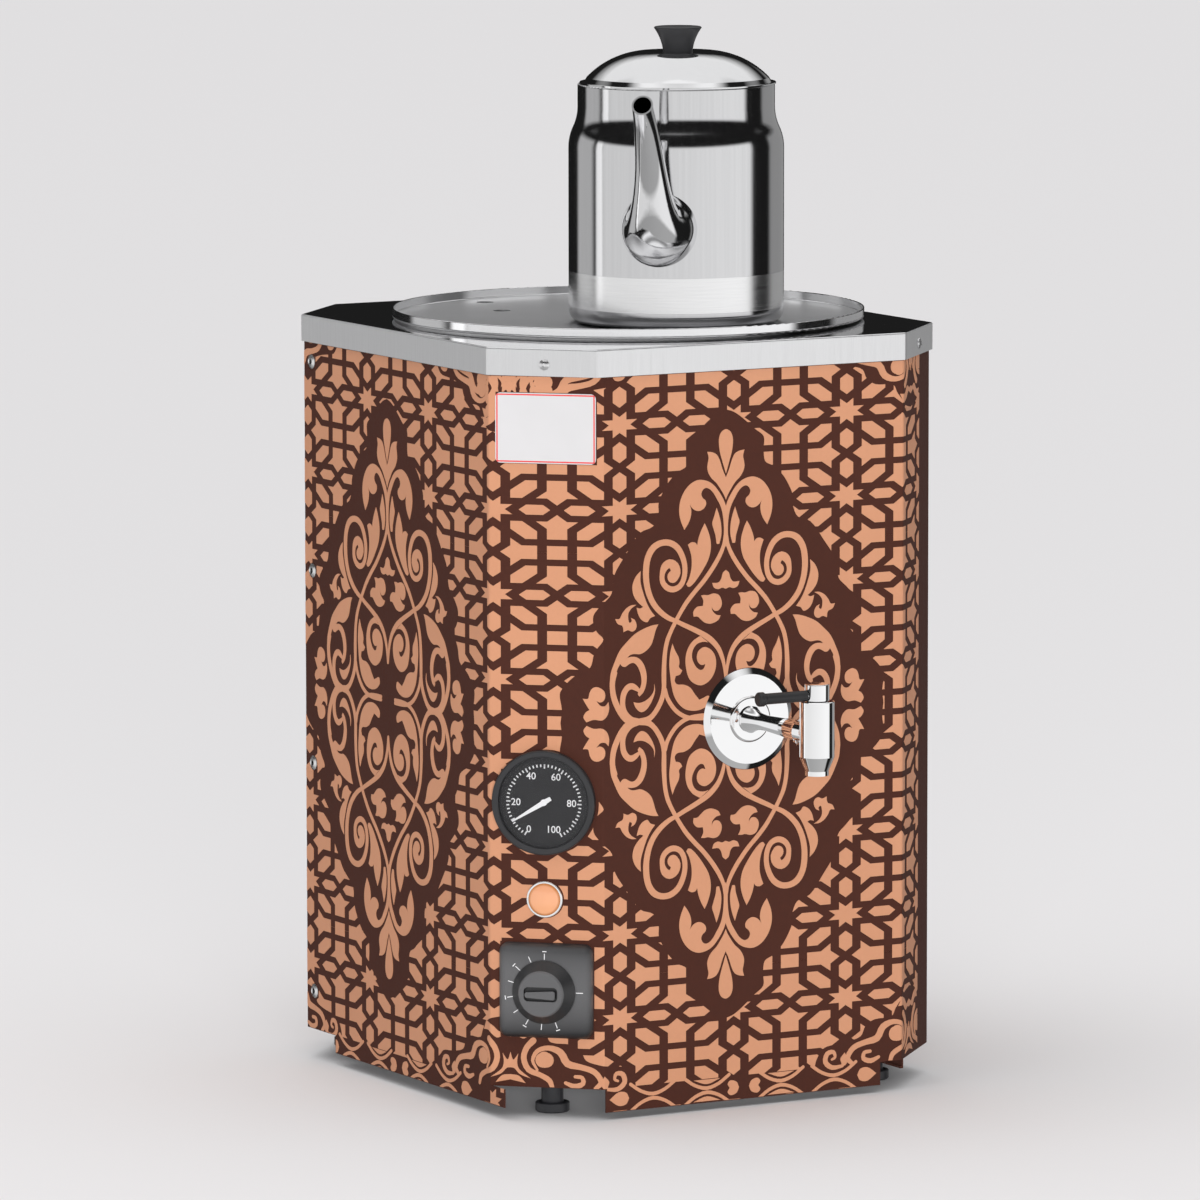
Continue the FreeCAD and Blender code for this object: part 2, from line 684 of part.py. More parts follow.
def top_collar():
    """Polished top with a folded skirt and the tank's round opening."""
    outline = collar_corners()
    low = COLLAR_TOP - COLLAR_SKIRT
    outer = rounded_prism(outline, BEND_RADIUS + SHEET, low, COLLAR_TOP)
    top_edges = [edge for edge in outer.Edges if edge.BoundBox.ZMin > COLLAR_TOP - 0.01]
    outer = outer.makeFillet(COLLAR_EDGE, top_edges)
    inner = rounded_prism(inward(outline, SHEET, closed=True), BEND_RADIUS, low - 1, COLLAR_TOP - SHEET)
    collar = outer.cut(inner).cut(disc(TANK_RADIUS + TANK_WALL + FIT, low, COLLAR_TOP + 1))
    return through_holes(collar, collar_screw_places(), SCREW_SHANK + HOLE_CLEARANCE, SCREW_LENGTH)


def collar_screws():
    head = SCREW_HEAD_HEIGHT
    screw = turned(
        (0, -SCREW_LENGTH), (SCREW_SHANK - 0.6, -SCREW_LENGTH), (SCREW_SHANK, -SCREW_LENGTH + 1.2),
        (SCREW_SHANK, 0), (SCREW_HEAD, 0), (SCREW_HEAD, head * 0.3),
        dome(SCREW_HEAD, head * 0.3, head))
    screw = screw.cut(hexagon(SCREW_SOCKET, head * 0.25, head + 1))
    return Part.makeCompound([placed(screw, place) for place in collar_screw_places()])


def seam_rivets():
    grip = SHEET * 2 + SEAM_GAP
    rivet = turned(
        (RIVET_BORE, RIVET_HEAD_HEIGHT * 0.7), (RIVET_BORE, -grip - 2.4), (RIVET_SHANK, -grip - 2.4),
        (RIVET_TAIL, -grip - 1.2), (RIVET_TAIL, -grip), (RIVET_SHANK, -grip), (RIVET_SHANK, 0),
        (RIVET_HEAD, 0), (RIVET_HEAD, RIVET_HEAD_HEIGHT * 0.3),
        ((RIVET_HEAD * 0.72, RIVET_HEAD_HEIGHT * 0.8), (RIVET_BORE * 1.5, RIVET_HEAD_HEIGHT)))
    return Part.makeCompound([placed(rivet, place) for place in rivet_places()])


# Base and feet

def base_plate():
    """Floor pan with an upturned rim against the casing, vents and screw holes."""
    outline = inward(body_corners(), SHEET + FIT, closed=True)
    outer = rounded_prism(outline, BEND_RADIUS, HEM_Z, HEM_Z + BASE_RIM)
    cavity = inward(outline, SHEET, closed=True)
    pan = outer.cut(rounded_prism(cavity, BEND_RADIUS, HEM_Z + SHEET, HEM_Z + BASE_RIM + 1))
    seam = SEAM_FLANGE + BODY_LEG
    flange_room = SHEET + SEAM_GAP + FIT
    for side in (-1, 1):
        x = side * (BODY_HALF_X - SHEET)
        far = side * (BODY_HALF_X - SHEET - flange_room)
        y = BODY_HALF_Y - seam - FIT
        low_x, high_x = sorted((x, far))
        low_y, high_y = sorted((-side * y, -side * (BODY_HALF_Y - BODY_LEG + flange_room)))
        pan = pan.cut(block(low_x, high_x, low_y, high_y, HEM_Z - 1, HEM_Z + BASE_RIM + 1))
    for index in range(VENT_COUNT):
        x = (index - (VENT_COUNT - 1) / 2) * VENT_PITCH
        slot = block(x - VENT_WIDTH / 2, x + VENT_WIDTH / 2,
                     -VENT_LENGTH / 2, VENT_LENGTH / 2, HEM_Z - 1, HEM_Z + SHEET + 1)
        pan = pan.cut(slot)
    for foot in foot_places():
        pan = pan.cut(Part.makeCylinder(FOOT_SCREW + HOLE_CLEARANCE, SHEET * 3, foot + UP * (HEM_Z - 1)))
    return pan


def feet():
    """Moulded feet: a stem on a wider pad, with a shallow groove where they meet."""
    rim = FOOT_BASE_HEIGHT
    foot = turned(
        (0, 0), (FOOT_BASE - 0.8, 0), (FOOT_BASE, 0.8), (FOOT_BASE, rim - 0.5), (FOOT_BASE - 0.5, rim),
        (FOOT_BASE - 1.6, rim), (FOOT_BASE - 1.6, rim - FOOT_GROOVE), (FOOT_STEM, rim - FOOT_GROOVE),
        (FOOT_STEM, HEM_Z), (FOOT_SCREW + HOLE_CLEARANCE, HEM_Z),
        (FOOT_SCREW + HOLE_CLEARANCE, HEM_Z - FOOT_SCREW_DEPTH - 1), (0, HEM_Z - FOOT_SCREW_DEPTH - 1))
    solids = []
    for place in foot_places():
        one = foot.copy()
        one.translate(place)
        solids.append(one)
    return Part.makeCompound(solids)


def foot_screws():
    seat = HEM_Z + SHEET
    screw = disc(FOOT_SCREW, HEM_Z - FOOT_SCREW_DEPTH, seat).fuse(
        disc(FOOT_SCREW_HEAD, seat, seat + FOOT_SCREW_HEAD_HEIGHT)).removeSplitter()
    screw = screw.cut(hexagon(FOOT_SCREW_HEAD, seat + 1, seat + FOOT_SCREW_HEAD_HEIGHT + 1))
    solids = []
    for place in foot_places():
        one = screw.copy()
        one.translate(place)
        solids.append(one)
    return Part.makeCompound(solids)


# Water tank and heating

def tank():
    """Rolled and welded tank wall with a flange that hangs in the collar."""
    top = COLLAR_TOP + TANK_WALL
    outer = TANK_RADIUS + TANK_WALL
    low = TANK_BOTTOM + TANK_DISH
    return turned(
        (TANK_RADIUS, low), (outer, low), (outer, COLLAR_TOP), (outer + TANK_FLANGE, COLLAR_TOP),
        (outer + TANK_FLANGE, top), (TANK_RADIUS, top))


def tank_bottom():
    """Deep dish welded to the tank's wall, with the tap's boss and the holes of the fittings."""
    outer = TANK_RADIUS + TANK_WALL
    low = TANK_BOTTOM
    bend = (outer - TANK_CORNER, low + TANK_CORNER)
    dish = turned(
        (0, low), (bend[0], low), (fillet_middle(bend, TANK_CORNER, (1, -1)), (outer, bend[1])),
        (outer, low + TANK_DISH), (TANK_RADIUS, low + TANK_DISH), (TANK_RADIUS, bend[1]),
        (fillet_middle(bend, TANK_CORNER - TANK_WALL, (1, -1)), (bend[0], low + TANK_WALL)),
        (0, low + TANK_WALL))
    boss = disc(TANK_BOSS_RADIUS, -(BODY_HALF_Y - TANK_RADIUS + TANK_BOSS_IN),
                -(BODY_HALF_Y - outer - TANK_BOSS_OUT))
    dish = dish.fuse(placed(boss, tap_place())).removeSplitter()
    dish = through_holes(dish, [tap_place()], SHANK_RADIUS + FIT, BODY_HALF_Y)
    sheath_hole = disc(SHEATH_RADIUS, -(gauge_radius() - TANK_RADIUS + 15), 0)
    dish = dish.cut(placed(sheath_hole, gauge_place(TANK_BOTTOM + SHEATH_RISE)))
    leg = element_leg()
    for side in (-1, 1):
        centre = Vector(side * leg.x, leg.y, low - 1)
        dish = dish.cut(Part.makeCylinder(BUSH_NECK + FIT, TANK_WALL + 2, centre))
    return dish


def heating_element():
    """Sheathed tube: one open ring with two legs down through the tank's bottom."""
    ring_z = TANK_BOTTOM + ELEMENT_RISE
    tail_z = TANK_BOTTOM - ELEMENT_TAIL
    angle = math.radians(ELEMENT_GAP_ANGLE)
    leg = element_leg()
    ends = []
    for side in (1, -1):
        top = Vector(side * math.sin(angle) * ELEMENT_RING, math.cos(angle) * ELEMENT_RING, ring_z)
        foot = Vector(side * leg.x, leg.y, ring_z - ELEMENT_BEND)
        tangent = Vector(side * math.cos(angle), -math.sin(angle), 0)
        centre = top - UP * ELEMENT_BEND
        middle = centre + (UP - tangent).normalize() * ELEMENT_BEND
        ends.append((foot, middle, top))
    right, left = ends
    edges = [
        Part.LineSegment(Vector(right[0].x, right[0].y, tail_z), right[0]).toShape(),
        Part.Arc(*right).toShape(),
        Part.Arc(right[2], Vector(0, -ELEMENT_RING, ring_z), left[2]).toShape(),
        Part.Arc(left[2], left[1], left[0]).toShape(),
        Part.LineSegment(left[0], Vector(left[0].x, left[0].y, tail_z)).toShape()]
    tube = pipe(Part.Wire(edges), ELEMENT_TUBE)
    pins = []
    for side in (-1, 1):
        tip = Vector(side * leg.x, leg.y, tail_z - ELEMENT_PIN_LENGTH)
        pins.append(Part.makeCylinder(ELEMENT_PIN, ELEMENT_PIN_LENGTH, tip))
    return tube.fuse(pins).removeSplitter()


def element_bushes():
    seat = TANK_BOTTOM + TANK_WALL
    bush = turned(
        (ELEMENT_TUBE + FIT, TANK_BOTTOM - NUT_HEIGHT - 3), (BUSH_NECK, TANK_BOTTOM - NUT_HEIGHT - 3),
        (BUSH_NECK, seat), (BUSH_FLANGE, seat), (BUSH_FLANGE, seat + BUSH_FLANGE_HEIGHT),
        (ELEMENT_TUBE + FIT, seat + BUSH_FLANGE_HEIGHT))
    leg = element_leg()
    sides = [FreeCAD.Placement(Vector(side * leg.x, leg.y, 0), FreeCAD.Rotation()) for side in (-1, 1)]
    return Part.makeCompound([placed(bush, side) for side in sides])


def element_nuts():
    nut = hexagon(NUT_ACROSS, TANK_BOTTOM - NUT_HEIGHT, TANK_BOTTOM)
    nut = nut.cut(disc(BUSH_NECK + FIT, TANK_BOTTOM - NUT_HEIGHT - 1, TANK_BOTTOM + 1))
    leg = element_leg()
    sides = [FreeCAD.Placement(Vector(side * leg.x, leg.y, 0), FreeCAD.Rotation()) for side in (-1, 1)]
    return Part.makeCompound([placed(nut, side) for side in sides])


def bulb_sheath():
    """Closed tube welded through the tank's wall, which keeps the two sensing bulbs dry."""
    wall = gauge_radius() - TANK_RADIUS
    inner_end = -wall - SHEATH_INSIDE
    outer_end = -(wall - TANK_WALL - SHEATH_OUTSIDE)
    sheath = turned(
        (0, inner_end), ((SHEATH_RADIUS * 0.7, inner_end + SHEATH_RADIUS * 0.3),
                         (SHEATH_RADIUS, inner_end + SHEATH_RADIUS)),
        (SHEATH_RADIUS, outer_end), (SHEATH_RADIUS - SHEATH_WALL, outer_end),
        (SHEATH_RADIUS - SHEATH_WALL, inner_end + SHEATH_RADIUS), (0, inner_end + SHEATH_RADIUS))
    return placed(sheath, gauge_place(TANK_BOTTOM + SHEATH_RISE))


def sensing_bulb(offset, length, drop, back, exit_drop):
    """Bulb in the sheath and its capillary down to a control, in the gauge panel's local frame."""
    wall = gauge_radius() - TANK_RADIUS
    mouth = -(wall - TANK_WALL - SHEATH_OUTSIDE)
    tip = mouth - length
    turn = mouth + CAPILLARY_CLEAR
    bulb = Part.makeCylinder(BULB_RADIUS, length - BULB_TAPER, Vector(offset, 0, tip), UP)
    points = [
        Vector(offset, 0, tip + length - BULB_TAPER), Vector(offset, 0, turn), Vector(offset, -drop, turn),
        Vector(offset, -drop, back)]
    if exit_drop:
        points.append(Vector(offset, -drop - exit_drop, back))
    capillary = pipe(route(points, CAPILLARY_BEND), CAPILLARY)
    return placed(bulb.fuse(capillary), gauge_place(TANK_BOTTOM + SHEATH_RISE))


def thermometer_bulb():
    drop = TANK_BOTTOM + SHEATH_RISE - THERMOMETER_Z
    return sensing_bulb(BULB_OFFSET, THERMOMETER_BULB, drop, -THERMOMETER_DEPTH, 0.0)


def thermostat_bulb():
    entry = 12.0
    drop = TANK_BOTTOM + SHEATH_RISE - THERMOSTAT_Z - THERMOSTAT_BODY / 2 - entry
    return sensing_bulb(-BULB_OFFSET, THERMOSTAT_BULB, drop, -SHEET - THERMOSTAT_DEPTH / 2, entry)


# Tap

def tap_body():
    """One casting: barrel with its nozzle, flared stem and the shank through casing and tank."""
    nozzle_tip = TAP_Z - NOZZLE_TIP_DROP
    barrel = turned(
        (0, nozzle_tip), (NOZZLE_RADIUS, nozzle_tip), (NOZZLE_RADIUS, TAP_Z - NOZZLE_DROP),
        (BARREL_RADIUS, TAP_Z - BARREL_DROP), (BARREL_RADIUS, BARREL_TOP - 0.4),
        (BARREL_RADIUS - 0.4, BARREL_TOP), (0, BARREL_TOP))
    barrel.translate(Vector(TAP_X, BARREL_Y, 0))
    shank_end = -(BODY_HALF_Y - TANK_RADIUS + TANK_BOSS_IN + GASKET_HEIGHT + TAP_NUT_HEIGHT + 2)
    root = ROSETTE_CROWN + FIT
    ring_end = STEM_RING_START + STEM_RING
    stem = turned(
        (0, shank_end), (SHANK_RADIUS, shank_end), (SHANK_RADIUS, root),
        (STEM_ROOT_RADIUS, root), (STEM_ROOT_RADIUS, root + 1.2),
        ((STEM_WAIST_RADIUS + 0.9, root + (STEM_WAIST - root) * 0.42), (STEM_WAIST_RADIUS, STEM_WAIST)),
        (STEM_END_RADIUS, STEM_RING_START), (STEM_RING_RADIUS, STEM_RING_START),
        (STEM_RING_RADIUS, ring_end), (STEM_NECK_RADIUS, ring_end), (STEM_NECK_RADIUS, TAP_REACH),
        (0, TAP_REACH))
    casting = barrel.fuse(placed(stem, tap_place())).removeSplitter()
    waterway = placed(disc(WATERWAY, shank_end - 1, TAP_REACH), tap_place())
    bore = disc(PLUG_RADIUS + RUNNING_FIT, PLUG_SEAT, BARREL_TOP + 1)
    outlet = disc(OUTLET_RADIUS, nozzle_tip - 1, PLUG_SEAT + 1)
    upright = bore.fuse(outlet)
    upright.translate(Vector(TAP_X, BARREL_Y, 0))
    return casting.cut(waterway).cut(upright)


def tap_plug():
    """Turning plug with an elbow passage; its side port faces the waterway a quarter turn away."""
    low = PLUG_SEAT + FIT
    plug = disc(PLUG_RADIUS, low, PLUG_SHOULDER).fuse(
        disc(PLUG_NECK, PLUG_SHOULDER, BARREL_TOP + CAP_GAP + CAP_HEIGHT - 2)).removeSplitter()
    elbow = disc(PLUG_PORT, low - 1, TAP_Z)
    side_port = Part.makeCylinder(PLUG_PORT, PLUG_RADIUS + 1, Vector(0, 0, TAP_Z), Vector(1, 0, 0))
    cross_hole = Part.makeCylinder(LEVER_ROD, PLUG_NECK * 2 + 2, Vector(-PLUG_NECK - 1, 0, LEVER_Z),
                                   Vector(1, 0, 0))
    plug = plug.cut(elbow).cut(Part.makeSphere(PLUG_PORT, Vector(0, 0, TAP_Z))).cut(side_port)
    plug = plug.cut(cross_hole)
    plug.translate(Vector(TAP_X, BARREL_Y, 0))
    return plug


def tap_spindle_bush():
    """Bush pressed into the barrel's mouth, which keeps the plug down on its seat."""
    low = PLUG_SHOULDER + CAP_GAP
    bush = ring(PLUG_RADIUS + RUNNING_FIT, PLUG_NECK + RUNNING_FIT, low, low + SPINDLE_BUSH_HEIGHT)
    bush.translate(Vector(TAP_X, BARREL_Y, 0))
    return bush


def tap_cap():
    low = BARREL_TOP + CAP_GAP
    high = low + CAP_HEIGHT
    soft = 0.6
    cap = turned(
        (0, high - 2), (PLUG_NECK, high - 2), (PLUG_NECK, low), (CAP_RADIUS - soft / 2, low),
        (CAP_RADIUS, low + soft / 2), (CAP_RADIUS, high - soft),
        ((CAP_RADIUS - soft * 0.3, high - soft * 0.3), (CAP_RADIUS - soft, high)), (0, high))
    lever_hole = Part.makeCylinder(LEVER_ROD, CAP_RADIUS + 1, Vector(-CAP_RADIUS - 1, 0, LEVER_Z),
                                   Vector(1, 0, 0))
    cap = cap.cut(lever_hole)
    cap.translate(Vector(TAP_X, BARREL_Y, 0))
    return cap


def tap_lever():
    """Steel rod through the cap and the plug's neck, which carries the grip."""
    inner_end = math.sqrt(PLUG_NECK ** 2 - LEVER_ROD ** 2) - FIT
    length = LEVER_TIP - GRIP_TIP_RADIUS + inner_end
    rod = Part.makeCylinder(LEVER_ROD, length, Vector(inner_end, 0, LEVER_Z), Vector(-1, 0, 0))
    rod.translate(Vector(TAP_X, BARREL_Y, 0))
    return rod


def lever_grip():
    """Sleeve with a thicker end whose edges are rounded."""
    root = CAP_RADIUS + CAP_GAP
    tip = LEVER_TIP
    bead = GRIP_TIP_RADIUS
    edge = GRIP_TIP_EDGE
    grip = turned(
        (LEVER_ROD, root), (GRIP_RADIUS, root), (GRIP_RADIUS, tip - GRIP_TIP_LENGTH),
        (bead, tip - GRIP_TIP_LENGTH + edge), (bead, tip - edge),
        (fillet_middle((bead - edge, tip - edge), edge, (1, 1)), (bead - edge, tip)), (0, tip),
        (0, tip - bead), (LEVER_ROD, tip - bead))
    towards_left = FreeCAD.Placement(
        Vector(TAP_X, BARREL_Y, LEVER_Z), FreeCAD.Rotation(Vector(0, 1, 0), -90))
    return placed(grip, towards_left)


def tap_rosette():
    """Thin escutcheon with a bevelled edge and a stepped middle round the stem."""
    bore = SHANK_RADIUS + FIT
    rosette = turned(
        (bore, 0), (ROSETTE_RADIUS, 0), (ROSETTE_RADIUS, 0.4), (ROSETTE_FACE, ROSETTE_HEIGHT),
        (ROSETTE_STEP, ROSETTE_HEIGHT + 0.5),
        ((ROSETTE_STEP - 0.5, ROSETTE_CROWN - 0.4), (ROSETTE_STEP - 2, ROSETTE_CROWN)),
        (bore, ROSETTE_CROWN))
    return placed(rosette, tap_place())


def tap_nuts():
    """Locknut on the casing's inner face and clamping nut inside the tank."""
    bore = disc(SHANK_RADIUS + FIT, -BODY_HALF_Y, 1)
    seat = -(BODY_HALF_Y - TANK_RADIUS + TANK_BOSS_IN + GASKET_HEIGHT)
    outer_nut = hexagon(TAP_NUT_ACROSS, -SHEET - TAP_NUT_HEIGHT, -SHEET).cut(bore)
    inner_nut = hexagon(TAP_NUT_ACROSS, seat - TAP_NUT_HEIGHT, seat).cut(bore)
    return placed(Part.makeCompound([outer_nut, inner_nut]), tap_place())


def tap_gasket():
    seat = -(BODY_HALF_Y - TANK_RADIUS + TANK_BOSS_IN)
    return placed(ring(GASKET_RADIUS, SHANK_RADIUS + FIT, seat - GASKET_HEIGHT, seat), tap_place())


# Thermometer

def thermometer_case():
    """Round case with a rolled black ring in front of the panel."""
    crest = THERMOMETER_RING
    soft = 1.1
    case = turned(
        (0, DIAL_SEAT), (DIAL_RADIUS, DIAL_SEAT), (DIAL_RADIUS, crest - 0.5), (DIAL_RADIUS + 0.5, crest),
        (THERMOMETER_FLANGE - soft, crest),
        (fillet_middle((THERMOMETER_FLANGE - soft, crest - soft), soft, (1, 1)),
         (THERMOMETER_FLANGE, crest - soft)),
        (THERMOMETER_FLANGE, 0), (THERMOMETER_CASE, 0), (THERMOMETER_CASE, 1 - THERMOMETER_DEPTH),
        (THERMOMETER_CASE - 1, -THERMOMETER_DEPTH), (0, -THERMOMETER_DEPTH))
    bore = disc(POINTER_SHAFT + RUNNING_FIT, DIAL_SEAT - POINTER_SHAFT_DEPTH - 1, DIAL_SEAT + 1)
    return placed(case.cut(bore), thermometer_place())


def thermometer_dial():
    dial = ring(DIAL_RADIUS - FIT, POINTER_SHAFT + 0.3, DIAL_SEAT, DIAL_SEAT + DIAL_THICKNESS)
    return placed(dial, thermometer_place())


def thermometer_pointer():
    """Tapered needle with a short tail, on its spindle."""
    low = DIAL_SEAT + DIAL_THICKNESS + POINTER_GAP
    corners = [
        Vector(-POINTER_TAIL, -POINTER_ROOT, low), Vector(0, -POINTER_ROOT * 1.3, low),
        Vector(POINTER_TIP, -POINTER_POINT, low), Vector(POINTER_TIP, POINTER_POINT, low),
        Vector(0, POINTER_ROOT * 1.3, low), Vector(-POINTER_TAIL, POINTER_ROOT, low),
        Vector(-POINTER_TAIL, -POINTER_ROOT, low)]
    needle = Part.Face(Part.makePolygon(corners)).extrude(UP * POINTER_THICKNESS)
    hub = disc(POINTER_HUB, low, low + POINTER_THICKNESS)
    shaft = disc(POINTER_SHAFT, DIAL_SEAT - POINTER_SHAFT_DEPTH, low + POINTER_THICKNESS)
    pointer = needle.fuse([hub, shaft]).removeSplitter()
    pointer = placed(pointer, FreeCAD.Placement(Vector(), FreeCAD.Rotation(UP, POINTER_ANGLE)))
    return placed(pointer, thermometer_place())


def thermometer_glass():
    high = THERMOMETER_RING - GLASS_INSET
    return placed(disc(DIAL_RADIUS - FIT, high - GLASS_THICKNESS, high), thermometer_place())


def thermometer_clamp():
    """Spring ring that holds the case from behind the panel."""
    clamp = ring(CLAMP_RING_RADIUS, THERMOMETER_CASE + FIT, -SHEET - CLAMP_RING_HEIGHT, -SHEET)
    return placed(clamp, thermometer_place())


# Signal lamp

def lamp_holder():
    """Chromed flange with a threaded barrel and two blade terminals."""
    top = LAMP_FLANGE_HEIGHT
    seat = top - LAMP_LENS_SEAT
    soft = 0.5
    holder = turned(
        (0, seat), (LAMP_LENS, seat), (LAMP_LENS, top), (LAMP_FLANGE - soft, top),
        (fillet_middle((LAMP_FLANGE - soft, top - soft), soft, (1, 1)), (LAMP_FLANGE, top - soft)),
        (LAMP_FLANGE, 0), (LAMP_BARREL, 0),
        (LAMP_BARREL, -LAMP_DEPTH), (0, -LAMP_DEPTH))
    blades = []
    for side in (-1, 1):
        x = side * LAMP_BARREL / 2
        blades.append(block(x - 0.4, x + 0.4, -LAMP_BLADE / 2, LAMP_BLADE / 2,
                            -LAMP_DEPTH - LAMP_BLADE, -LAMP_DEPTH))
    return placed(holder.fuse(blades), lamp_place())


def lamp_lens():
    top = LAMP_FLANGE_HEIGHT
    radius = LAMP_LENS - FIT
    lens = turned((0, top - LAMP_LENS_SEAT), (radius, top - LAMP_LENS_SEAT), (radius, top),
                  dome(radius, top, top + LAMP_LENS_CROWN))
    return placed(lens, lamp_place())


def lamp_nut():
    nut = hexagon(LAMP_NUT * 2, -SHEET - LAMP_NUT_HEIGHT, -SHEET)
    nut = nut.cut(disc(LAMP_BARREL + FIT, -SHEET - LAMP_NUT_HEIGHT - 1, 0))
    return placed(nut, lamp_place())


# Thermostat

def rounded_square(size, corner, low, high):
    half = size / 2
    square = [Vector(-half, -half, 0), Vector(half, -half, 0), Vector(half, half, 0),
              Vector(-half, half, 0)]
    return rounded_prism(square, corner, low, high)


def thermostat_plate():
    """Pillow-shaped moulding, hollow behind, that covers the thermostat's screws."""
    outer = rounded_square(PLATE_SIZE, PLATE_CORNER, 0, PLATE_HEIGHT)
    crest = [edge for edge in outer.Edges if edge.BoundBox.ZMin > PLATE_HEIGHT - 0.01]
    outer = outer.makeFillet(PLATE_SHOULDER, crest)
    cavity = rounded_square(PLATE_SIZE - PLATE_WALL * 2, PLATE_CORNER - PLATE_WALL, -1,
                            PLATE_HEIGHT - PLATE_SHOULDER)
    upper = rounded_square(PLATE_SIZE - PLATE_SHOULDER * 2, PLATE_CORNER / 2, 0,
                           PLATE_HEIGHT - PLATE_WALL)
    plate = outer.cut(cavity).cut(upper).cut(disc(SHAFT_RADIUS + 0.5, 0, PLATE_HEIGHT + 1))
    return placed(plate, gauge_place(THERMOSTAT_Z))


def thermostat_knob():
    """Bevelled knob; a wedge stands in a pocket across its face and points at the scale."""
    low = PLATE_HEIGHT + KNOB_GAP
    high = low + KNOB_HEIGHT
    knob = turned(
        (0, low), (KNOB_RADIUS, low), (KNOB_RADIUS, low + KNOB_RIM),
        ((KNOB_FACE + 1.9, low + KNOB_HEIGHT * 0.72), (KNOB_FACE, high)), (0, high))
    knob = knob.cut(disc(SHAFT_RADIUS, low - 1, low + KNOB_SOCKET_DEPTH))
    half = GRIP_POCKET_LENGTH / 2
    floor = high - GRIP_POCKET_DEPTH
    wide = GRIP_POCKET_WIDTH / 2
    pocket_outline = [Vector(-half, -wide, 0), Vector(half, -wide, 0), Vector(half, wide, 0),
                      Vector(-half, wide, 0)]
    pocket = rounded_prism(pocket_outline, GRIP_POCKET_CORNER, floor, high + 1)
    narrow_half = GRIP_WEDGE_NARROW / 2
    wide_half = GRIP_WEDGE_WIDE / 2
    wedge_start = -half + 0.6
    wedge_end = half - GRIP_WEDGE_END_GAP
    middle = -GRIP_WEDGE_DROP
    wedge_outline = [
        Vector(wedge_start, middle - narrow_half, 0), Vector(wedge_end, middle - wide_half, 0),
        Vector(wedge_end, middle + wide_half, 0), Vector(wedge_start, middle + narrow_half, 0)]
    wedge = rounded_prism(wedge_outline, GRIP_WEDGE_CORNER, floor, high)
    return placed(knob.cut(pocket.cut(wedge)), gauge_place(THERMOSTAT_Z))


def thermostat_shaft():
    low = -SHEET - SHAFT_BORE_DEPTH
    high = PLATE_HEIGHT + KNOB_GAP + KNOB_SOCKET_DEPTH
    return placed(disc(SHAFT_RADIUS, low, high), gauge_place(THERMOSTAT_Z))


def thermostat_body():
    """Switch housing behind the panel with its mounting face and terminals."""
    half = THERMOSTAT_BODY / 2
    front = -SHEET
    body = rounded_square(THERMOSTAT_BODY, 3.0, front - THERMOSTAT_DEPTH, front)
    for side in (-1, 1):
        body = body.fuse(block(side * half / 2 - 0.4, side * half / 2 + 0.4, -half + 4, -half + 10,
                               front - THERMOSTAT_DEPTH - 8, front - THERMOSTAT_DEPTH))
        hole = disc(SCREW_SHANK + HOLE_CLEARANCE, front - SCREW_LENGTH - 1, 0)
        hole.translate(Vector(side * THERMOSTAT_SCREW_SPACING / 2, 0, 0))
        body = body.cut(hole)
    body = body.cut(disc(SHAFT_RADIUS + RUNNING_FIT, front - SHAFT_BORE_DEPTH - FIT, 0))
    return placed(body, gauge_place(THERMOSTAT_Z))


def thermostat_screws():
    screws = []
    for side in (-1, 1):
        screw = disc(SCREW_SHANK, -SHEET - SCREW_LENGTH + 1, 0).fuse(
            disc(THERMOSTAT_SCREW_HEAD, 0, THERMOSTAT_SCREW_HEAD_HEIGHT)).removeSplitter()
        screw.translate(Vector(side * THERMOSTAT_SCREW_SPACING / 2, 0, 0))
        screws.append(screw)
    return placed(Part.makeCompound(screws), gauge_place(THERMOSTAT_Z))


def badge_plate():
    half_x = BADGE_WIDTH / 2
    half_y = BADGE_HEIGHT / 2
    outline = [Vector(-half_x, -half_y, 0), Vector(half_x, -half_y, 0), Vector(half_x, half_y, 0),
               Vector(-half_x, half_y, 0)]
    return placed(rounded_prism(outline, BADGE_CORNER, 0, BADGE_THICKNESS), gauge_place(BADGE_Z))


# Mains inlet and the parts behind the panels

def cable_gland():
    """Gland with its hexagon outside the rear panel and a locknut inside."""
    dome_start = GLAND_HEX + 3
    gland = turned(
        (GLAND_BORE, -14), (GLAND_THREAD, -14), (GLAND_THREAD, GLAND_HEX),
        (GLAND_DOME, dome_start), (GLAND_DOME, GLAND_LENGTH - 5),
        ((GLAND_DOME * 0.84, GLAND_LENGTH - 1.5), (GLAND_BORE + 1.5, GLAND_LENGTH)),
        (GLAND_BORE, GLAND_LENGTH))
    flange = hexagon(GLAND_ACROSS, 0, GLAND_HEX).cut(disc(GLAND_THREAD - 1, -1, GLAND_HEX + 1))
    nut = hexagon(GLAND_ACROSS, -SHEET - 4, -SHEET).cut(disc(GLAND_THREAD + FIT, -SHEET - 5, 0))
    return placed(Part.makeCompound([gland.fuse(flange).removeSplitter(), nut]), gland_place())


def terminal_block():
    """Three-pole connector strip screwed to the base."""
    low = HEM_Z + SHEET
    length = TERMINAL_POLES * TERMINAL_PITCH
    strip = block(-length / 2, length / 2, TERMINAL_Y - TERMINAL_WIDTH / 2,
                  TERMINAL_Y + TERMINAL_WIDTH / 2, low, low + TERMINAL_HEIGHT)
    for pole in range(TERMINAL_POLES):
        x = (pole - (TERMINAL_POLES - 1) / 2) * TERMINAL_PITCH
        for side in (-1, 1):
            well = Part.makeCylinder(2.4, 5, Vector(x, TERMINAL_Y + side * 4, low + TERMINAL_HEIGHT - 4))
            strip = strip.cut(well)
    return strip


